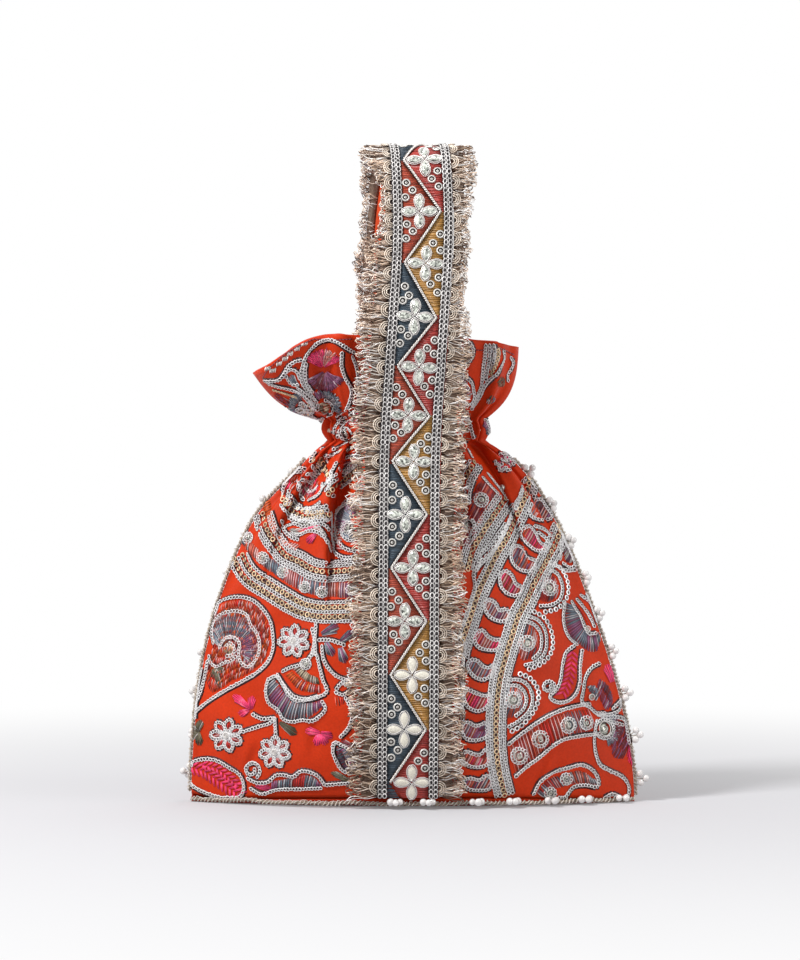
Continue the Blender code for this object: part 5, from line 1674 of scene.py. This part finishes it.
half_moons = [
    "58.5,145 59.5,151 63.5,153 66.5,149 69.5,144 63.5,142.5",
    "54.5,137.5 57.5,139.5 61,136 63.5,131 67.5,128.5 62.5,127 57.5,130 54.5,134",
    "49,127 51,129.5 55,128 57.5,123.5 61,122 59.5,117.5 53.5,117.5 49.5,121.5",
    "43.5,115 46,117 49,115 51.5,110 54.5,108.5 52.5,105 47.5,105.5 44,109",
    "35.5,100 37,102.5 40.5,101.5 43.5,97 46.5,98 48,96 46,92 41,92.5 37,95.5",
    "30.5,82.5 31.5,86 34.5,87.5 37,84.5 41,82.5 43.5,82.5 42.5,78 37,77.5 32.5,79",
    "27,70 29,72.5 32,72 34.5,69.5 38.5,68.5 40.5,70.5 40,66 34.5,62.5 29.5,65",
    "25,55 26.5,57.5 31,56 36,54.5 38.5,55 37.5,50 32,47 27,49.5",
    "24,40 27,41.5 31,39.5 37,41 37.5,35 32,32.5 26,33.5",
    "24.5,25 26.5,27 30,25.5 34,25.5 36,28 38,25 37,20.5 31,19 26,21",
    "25,12.5 28.5,13.5 33.5,12.5 36.5,15 39.5,12.5 38.5,8.5 32.5,7.5 27,8.5",
]
for number, outline in enumerate(half_moons):
    chain(outline, closed=True)
    filling(outline, 62, "coral pink red" if number % 2 else "slate coral purple", pitch=0.7, stitch=9.0)

chain(
    "67,118 71.5,116 74,111.5 74.5,107 73,102.5 69,100 63,99.5",
    "56.5,94.5 62,92.5 65.5,88 66.5,82 65.5,76 62,72 55.5,70",
    "55.5,92 60.5,90 63.5,86 64,81 63,76.5 59.5,73",
    "48,62.5 53,62.5 57.5,59.5 59.5,54.5 59,49.5 56,45 52,41.5 47.5,39",
    "47.5,59.5 52,59.5 55.5,56.5 56.5,52.5 55,48 51,44.5",
)
ring_row(
    "68.5,121 73.5,118.5 76.5,113.5 77.5,107.5 75.5,101.5 71.5,98 66,96.5",
    "60.5,96.5 65,94 68,89.5 69.5,84 69.5,78.5 67.5,74 63.5,70.5 58,68",
    "53.5,65.5 57.5,64 60.5,61 62.5,57 62.5,53 61,48.5 58,44 54.5,40 49.5,37",
    colour="silver",
)
filling("66,116 70,114 72.5,109.5 71.5,104 66.5,101.5 62.5,103.5", 70, "maroon red slate", pitch=0.8, stitch=7.0)
filling("55.5,90.5 60,88.5 62,84.5 62,77.5 59.5,74 54.5,72.5 52.5,77.5", 75, "coral slate red", pitch=0.8, stitch=8.0)
filling("47.5,59.5 52,58.5 54.5,55 54.5,49.5 52,45.5 47.5,43.5 46,50.5", 75, "slate coral slate", pitch=0.8, stitch=8.0)
disc((68, 108.5), 3.4, ringed=True)
disc((57, 81), 3.4, ringed=True)
disc((50, 52.5), 3.6, ringed=True)
chain(
    "73.5,122.5 75,132.5 78.5,135 82,128.5 82,122.5 79.5,118.5 74.5,121",
    "71.5,119.5 76.5,117 81,117.5",
    "76.5,130 79,128 80,124.5",
)
filling("75.5,124.5 77,131 80,129 80.5,122.5 77.5,121", 60, "white purple")
satin("80.5,98.5 83.5,94 85.5,89.5 87,85.5 90,84.5 92.5,86.5", "77,101 76,95 76.5,89 79,83.5 83.5,80 87.5,77 91,76.5 "
    "93.5,82", "slate slate purple slate purple slate", 0.7)
chain(
    "79,102 80.5,99 83.5,94.5 85.5,89.5 88,85.5 91.5,86",
    "81.5,103 84.5,99.5 88,94.5 90.5,89",
    "83.5,105 87.5,102 90.5,97.5 92.5,92",
    "86.5,105.5 90.5,102.5 93.5,97 94.5,91.5",
    "76,101.5 75,96 75.5,89 78,83.5 82,80",
)
running_stitches("83,101 86.5,97 90,91.5", "red")
running_stitches("81,100.5 85,95.5 88,90", "red")
running_stitches("85.5,103 89.5,99.5 92.5,94", "pink")
disc((87, 88), 1.8)
chain(
    "81,80 76.5,76.5 74.5,70 73.5,62.5 71.5,57.5 68,54 71,51.5 77.5,52 81,55 83,60 83.5,70 84.5,77.5",
    "93.5,71 89.5,69 86.5,65 85,57.5 84.5,51 88.5,48.5 92,45.5 96,46",
    "47.5,30 53.5,35 61,40.5 69.5,45.5 76,48 82.5,49.5 88.5,50.5",
    "51,14 56,18.5 63.5,24 68.5,28.5 74.5,32.5 83.5,34.5 93.5,35.5",
    "92,42.5 90.5,35 91,26.5 93.5,20 98.5,17 104.5,14 107.5,10 107.5,5 104.5,1",
    "93.5,45 99.5,45.5 103.5,48.5 103.5,52.5",
    "60,5 63.5,11.5 69.5,16 77.5,18.5 84.5,20 89.5,17.5 92.5,12.5 92.5,9.5 86,10 80,9 76,4 72.5,1.5",
    "95.5,3.5 99.5,5.5 103.5,3 100.5,-0.5",
)
spiral((67.5, 59), 3.7, 300, 1.3)
feather("79.5,76.5 79,70 77.5,62.5 75,56.5", 4.0, "pink")
filling("92.5,62.5 96,61 99,56 99.5,50.5 97,47.5 94,51.5 92,57.5", 70, "maroon purple", pitch=0.7, stitch=7.0)
filling("87,59 90.5,59.5 92.5,55.5 91.5,52 88.5,56.5", 60, "slate")
leaf((99.5, 61.5), (97, 70.5), 5.0, "pink")
disc((89, 54), 2.0)
satin("48.5,28.5 54.5,34.5 63.5,40.5 73.5,45.5 87.5,48", "51.5,16 58.5,21.5 67.5,29 76,33.5 91.5,38",
    "coral red coral red coral slate red", 0.9)
for place, radius in zip(at("53,24.5 63.5,33 77.5,40 86.5,41"), (3.8, 3.8, 3.5, 3.0)):
    disc(place, radius, ringed=True)
fan((95.5, 38), 5.4, 8.2, -75, 70, "slate maroon slate", outlined=False)
disc((95.5, 38), 4.8, ringed=True)
filling("99.5,34.5 103.5,39 108.5,37 109.5,31 107,26.5 104.5,23 100.5,24 99,29.5", 65, "maroon purple", pitch=0.75,
    stitch=7.0)
filling("108.5,30.5 110.5,27.5 112,23 111,19.5 108.5,20.5 107,25.5", 80, "pink", pitch=0.8, stitch=8.0)
chain("96.5,42.5 101,41 105,40", "99.5,48 102.5,51 104.5,53", "92,45 96.5,44 102,44 107,42 109.5,37 111,31")
satin("62,6.5 66.5,12 74.5,15 83.5,17 90.5,13", "66,3 70,7.5 76,9.5 83.5,11 92,10", "slate red slate coral slate")
disc((76.5, 13), 2.6, ringed=True)
disc((68.5, 6), 2.6, ringed=True)
print("chain lines so far:", len(chain_lines))

# %% [markdown]
# The ruffle's right half has lines of chain stitch that fan out from the neck, with small motifs between them, and
# the same line of small dark stitches along its hem, painted shade of the folded edge.

# %% Right half of the ruffle
chain(
    "36.5,230.5 36,224.5 35,218.5 34.5,213.5 34,208.5 32.5,205 31.5,202.5 29.5,199",
    "38.5,230.5 38.5,226 38,221 37,217 36.5,212.5",
    "45,227.5 45.5,223.5 44,219.5 42,215.5 39,213 36,209.5 34,205.5 32,202 29,198",
    "40.5,230.5 41,225.5 40,220.5",
    "28,231.5 30,227.5 29.5,224.5 28,222 25,220.5 22,219.5",
    "26.5,230 27.5,227 26.5,224.5 24,223",
    "15,218 20.5,219.5 23,217.5 25.5,214.5 29,211.5 30,207.5 30.5,203.5 28,200 24.5,202 20.5,205 16.5,208",
    "16,206 19.5,202.5 23.5,199 27,195.5",
    "26.5,194.5 28.5,191 29.5,187 30.5,183.5",
    "24,193.5 25,189 24,184.5",
    "48.5,224 50,221.5 49,218 47,215 47.5,212",
    "35.5,193 38.5,190.5 39.5,186",
)
fan((22.5, 226.5), 1.6, 5.0, -65, 65, "red coral pink", outlined=False)
filling("16.5,217 21,217.5 27,210.5 29,204.5 26,202 21.5,206 17,210.5", 35, "purple slate purple", pitch=0.7)
filling("18,206 22,202 26.5,198.5 27,195.5 22,198 18,202.5", 120, "red coral", pitch=0.8)
filling("40,229.5 43,228.5 43.5,223.5 41,218.5 39,216.5 39.5,222.5", 80, "slate white cream", pitch=0.8)
ring_row("42.5,227.5 42.5,223.5 41,219 39,215.5", radius=0.7)
filling("42.5,212.5 44.5,214 46,212 44.5,209 42.5,209.5", 60, "olive")
filling("37,202.5 39.5,204.5 41,203 39,200.5 37,200.5", 60, "olive slate")
fan((33.5, 186.5), 3.2, 5.6, -15, 65, "slate purple", outlined=False)
# maroon running stitches along the hem: painted shade of the folded edge
running_stitches("25,229 31.5,227.5 36,227.5 42,228.5 46.5,227 50.5,225")
print("chain stitches:", sum(len(line) - 1 for line in chain_lines))
print("ring sequins:", sum(len(row[0]) for row in ring_rows), "satin stitches:", sum(len(w[0]) for w in satin_work))

# %% [markdown]
# Now the drawing is laid on the cloth. For each place that the camera sees on the plane of the drawing, the turn and
# climb on the silk are found: first the nearest point of a coarse grid, then a few Newton steps. This is done on the
# cloth without its folds, because a fold could hide a place or show it twice. Once a stitch has its turn and climb, it
# is sewn onto the folded cloth in front, and just as well onto the back, which repeats the pattern.

# %% Lay the drawing on the silk
TURN_STEP, CLIMB_STEP = 1e-3, 1e-4
LARGEST_TURN, LARGEST_CLIMB = 0.05, 4 * MM
guess_turns, guess_climbs = np.meshgrid(np.linspace(0.05, np.pi - 0.05, 90), np.linspace(1.6 * MM, RIM, 100))


def seen_at(turn, climb):
    """Where a place on the front appears, carried along the camera's rays onto the plane of the face."""
    points = silk_wall(turn, climb, FRONT, folded=False)
    depth = (points[..., 1] - CAMERA_PLACE[1]) / (FACE_Y - CAMERA_PLACE[1])
    x = CAMERA_PLACE[0] + (points[..., 0] - CAMERA_PLACE[0]) / depth
    z = CAMERA_PLACE[2] + (points[..., 2] - CAMERA_PLACE[2]) / depth
    return np.stack([x, z], axis=-1)


guess_seen = seen_at(guess_turns, guess_climbs).reshape(-1, 2)


def find_on_silk(places):
    """Turn and climb (n, 2) of places in millimetres, by Newton's method with numerical slopes."""
    target = np.asarray(places, float) * MM
    nearest = np.concatenate([
        ((part[:, None] - guess_seen[None]) ** 2).sum(axis=-1).argmin(axis=1) for part in np.array_split(target, 40)
    ])
    turn, climb = guess_turns.ravel()[nearest], guess_climbs.ravel()[nearest]
    for _ in range(6):
        off = seen_at(turn, climb) - target
        by_turn = (seen_at(turn + TURN_STEP, climb) - seen_at(turn - TURN_STEP, climb)) / (2 * TURN_STEP)
        by_climb = (seen_at(turn, climb + CLIMB_STEP) - seen_at(turn, climb - CLIMB_STEP)) / (2 * CLIMB_STEP)
        area = by_turn[:, 0] * by_climb[:, 1] - by_turn[:, 1] * by_climb[:, 0]
        area = np.where(np.abs(area) < 1e-3, np.sign(area) * 1e-3 + (area == 0) * 1e-3, area)
        step_turn = (off[:, 0] * by_climb[:, 1] - off[:, 1] * by_climb[:, 0]) / area
        step_climb = (off[:, 1] * by_turn[:, 0] - off[:, 0] * by_turn[:, 1]) / area
        turn = np.clip(turn - np.clip(step_turn, -LARGEST_TURN, LARGEST_TURN), 0.02, np.pi - 0.02)
        climb = np.clip(climb - np.clip(step_climb, -LARGEST_CLIMB, LARGEST_CLIMB), 1.7 * MM, RIM - 0.3 * MM)
    return np.stack([turn, climb], axis=-1)


def spots_of(tables):
    """Turn and climb of every point of several tables, found in one go and split again."""
    lengths = np.cumsum([len(table) for table in tables])[:-1]
    return np.split(find_on_silk(np.concatenate(tables)), lengths)


chain_spots = spots_of(chain_lines)
ring_spots = spots_of([row[0] for row in ring_rows])
start_spots = spots_of([work[0] for work in satin_work])
middle_spots = spots_of([(work[0] + work[1]) / 2 for work in satin_work])
end_spots = spots_of([work[1] for work in satin_work])
disc_spots = find_on_silk(np.array([place for place, radius in disc_work]))
print("worst miss in mm:", round(float(np.abs(seen_at(*disc_spots.T) / MM - [p for p, r in disc_work]).max()), 2))

# %% [markdown]
# A chain stitch is a small loop that holds the next one, so a line of them is a row of ovals, each lying on the nose
# of the last, with a dark gap in its middle: a near-black strip under the line paints that shade, and a thin line of
# it on both sides. A row of rings lies on such a strip too. A satin stitch is a flat thread that bulges a little. A
# mirror disc is a small dome held down by two rings of cord. On the back the loops are plainer, with no painted shade
# under them.

# %% Sew on both panels
LOOP_HALF_LONG, LOOP_HALF_WIDE = 1.08 * MM, 0.74 * MM
LONGEST_LOOP, LONGEST_SATIN = 3.4 * MM, 15.0 * MM
CHAIN_THREAD, SEQUIN_THREAD = 0.27 * MM, 0.38 * MM
SATIN_THREAD = np.array([0.26, 0.38, 0.26]) * MM
ON_SILK = 0.05 * MM
DISC_SPOKES = 10
DISC_CORDS = ((0.78, 0.3), (0.3, 0.2))  # radius as a share of the disc's, and thread


def sew_chains(basket, shade_beds, side):
    """One oval loop over each step of the chain lines, a little askew; too long ones, at a side seam, are left out."""
    starts = np.concatenate([spots[:-1] for spots in chain_spots])
    ends = np.concatenate([spots[1:] for spots in chain_spots])
    here, up = silk_frame(*starts.T, side)
    there, _ = silk_frame(*ends.T, side)
    short = np.linalg.norm(there - here, axis=1) < LONGEST_LOOP
    here, there, up = here[short], there[short], up[short]
    ahead = unit(there - here)
    middles = (here + there) / 2 + up * 0.42 * MM
    askew = unit(ahead + np.cross(up, ahead) * chance.normal(0.0, 0.16, (len(ahead), 1)))
    wide = LOOP_HALF_WIDE * chance.uniform(0.8, 1.2, len(ahead))
    long = np.maximum(LOOP_HALF_LONG, 0.72 * np.linalg.norm(there - here, axis=1))
    loops = ovals(middles, askew, up, long, wide, 6 if side == FRONT else 5, 0.26 * MM, taper=0.45)
    tint = chance.uniform(0.92, 1.08, (len(loops), 1)) * FLOSS["silver"]
    basket.add_threads(loops, up[:, None], CHAIN_THREAD, tint, closed=True)
    if side == BACK:
        return
    # On the front a wide flat near-black strip under each step is painted shade: it darkens the middles of the loops
    # and a thin edge on both sides of the line.
    shade = straight_threads(here + up * ON_SILK, there + up * ON_SILK, 2)
    shade_beds.add_threads(shade, up[:, None], 1.75 * MM, FLOSS["shade"], flatness=0.11)


def sew_rings(basket, shade_beds, side):
    """A ring flat on the silk at each place of a row, over a dark line of painted shade."""
    for spots, (row, radius, colour) in zip(ring_spots, ring_rows):
        here, up = silk_frame(*spots.T, side)
        ahead = unit(np.gradient(here, axis=0))
        ahead = unit(ahead - up * (ahead * up).sum(axis=1, keepdims=True))
        rings = ovals(here + up * 0.38 * MM, ahead, up, radius * MM, radius * MM, 7)
        tint = np.array(colour) * chance.uniform(0.75, 1.4, (len(rings), 1))
        basket.add_threads(rings, up[:, None], SEQUIN_THREAD, tint, closed=True)
        shade_beds.add_threads((here + up * ON_SILK)[None], up[None], 0.95 * MM, FLOSS["shade"], flatness=0.25)


def sew_satin(basket, side):
    """Flat threads from edge to edge, down in the silk at both ends and raised in the middle."""
    for starts, middles, ends, (_, _, tint) in zip(start_spots, middle_spots, end_spots, satin_work):
        (a, up_a), (b, up_b), (c, up_c) = (silk_frame(*spots.T, side) for spots in (starts, middles, ends))
        paths = np.stack([a + up_a * 0.08 * MM, b + up_b * 0.42 * MM, c + up_c * 0.08 * MM], axis=1)
        short = np.linalg.norm(c - a, axis=1) < LONGEST_SATIN
        basket.add_threads(paths[short], up_b[short, None], SATIN_THREAD, tint[short], flatness=0.7)


def sew_discs(basket, cords, side):
    """Low domes of two rings of corners and a tip, each with its two rings of cord."""
    here, up = silk_frame(*disc_spots.T, side)
    level = unit(np.cross(up, [0.0, 0.0, 1.0]))
    for centre, square, flat, (_, radius) in zip(here, up, level, disc_work):
        radius = radius * MM
        step = np.arange(DISC_SPOKES)
        angle = 2 * np.pi * step / DISC_SPOKES
        rise = np.cross(square, flat)
        rim = flat * np.cos(angle)[:, None] + rise * np.sin(angle)[:, None]
        low = centre + rim * radius * 0.68 + square * ON_SILK
        mid = centre + rim * radius * 0.45 + square * 0.5 * MM
        corners = np.concatenate([low, mid, [centre + square * 0.6 * MM, centre - square * 0.1 * MM]])
        after = (step + 1) % DISC_SPOKES
        quads = np.stack([step, after, after + DISC_SPOKES, step + DISC_SPOKES], axis=-1)
        tip = np.full(DISC_SPOKES, 2 * DISC_SPOKES)
        top = np.stack([tip, step + DISC_SPOKES, after + DISC_SPOKES], axis=-1)
        base = np.stack([tip + 1, after, step], axis=-1)
        basket.add(corners, quads, np.concatenate([top, base]), (0.34, 0.35, 0.30))
        for share, thread in DISC_CORDS:
            ring = centre + rim * radius * share + square * (0.45 + 0.5 * (share < 0.8)) * MM
            cords.add_threads(ring[None], square[None, None], thread * MM, FLOSS["white"], closed=True)


for side, word in ((FRONT, "front"), (BACK, "back")):
    chains, shade_beds, rings, floss, glass = (Basket() for _ in range(5))
    sew_chains(chains, shade_beds, side)
    sew_rings(rings, shade_beds, side)
    sew_satin(floss, side)
    sew_discs(glass, rings, side)
    chains.piece(f"chain_work_{word}", cotton_yarn, "cream_cord")
    shade_beds.piece(f"painted_shade_{word}", silk_floss, "vermilion_silk")
    rings.piece(f"ring_work_{word}", metal_yarn, "gold_fringe")
    floss.piece(f"satin_work_{word}", silk_floss, "crimson_weave")
    glass.piece(f"mirror_discs_{word}", mirror_glass, "mirror_petal")
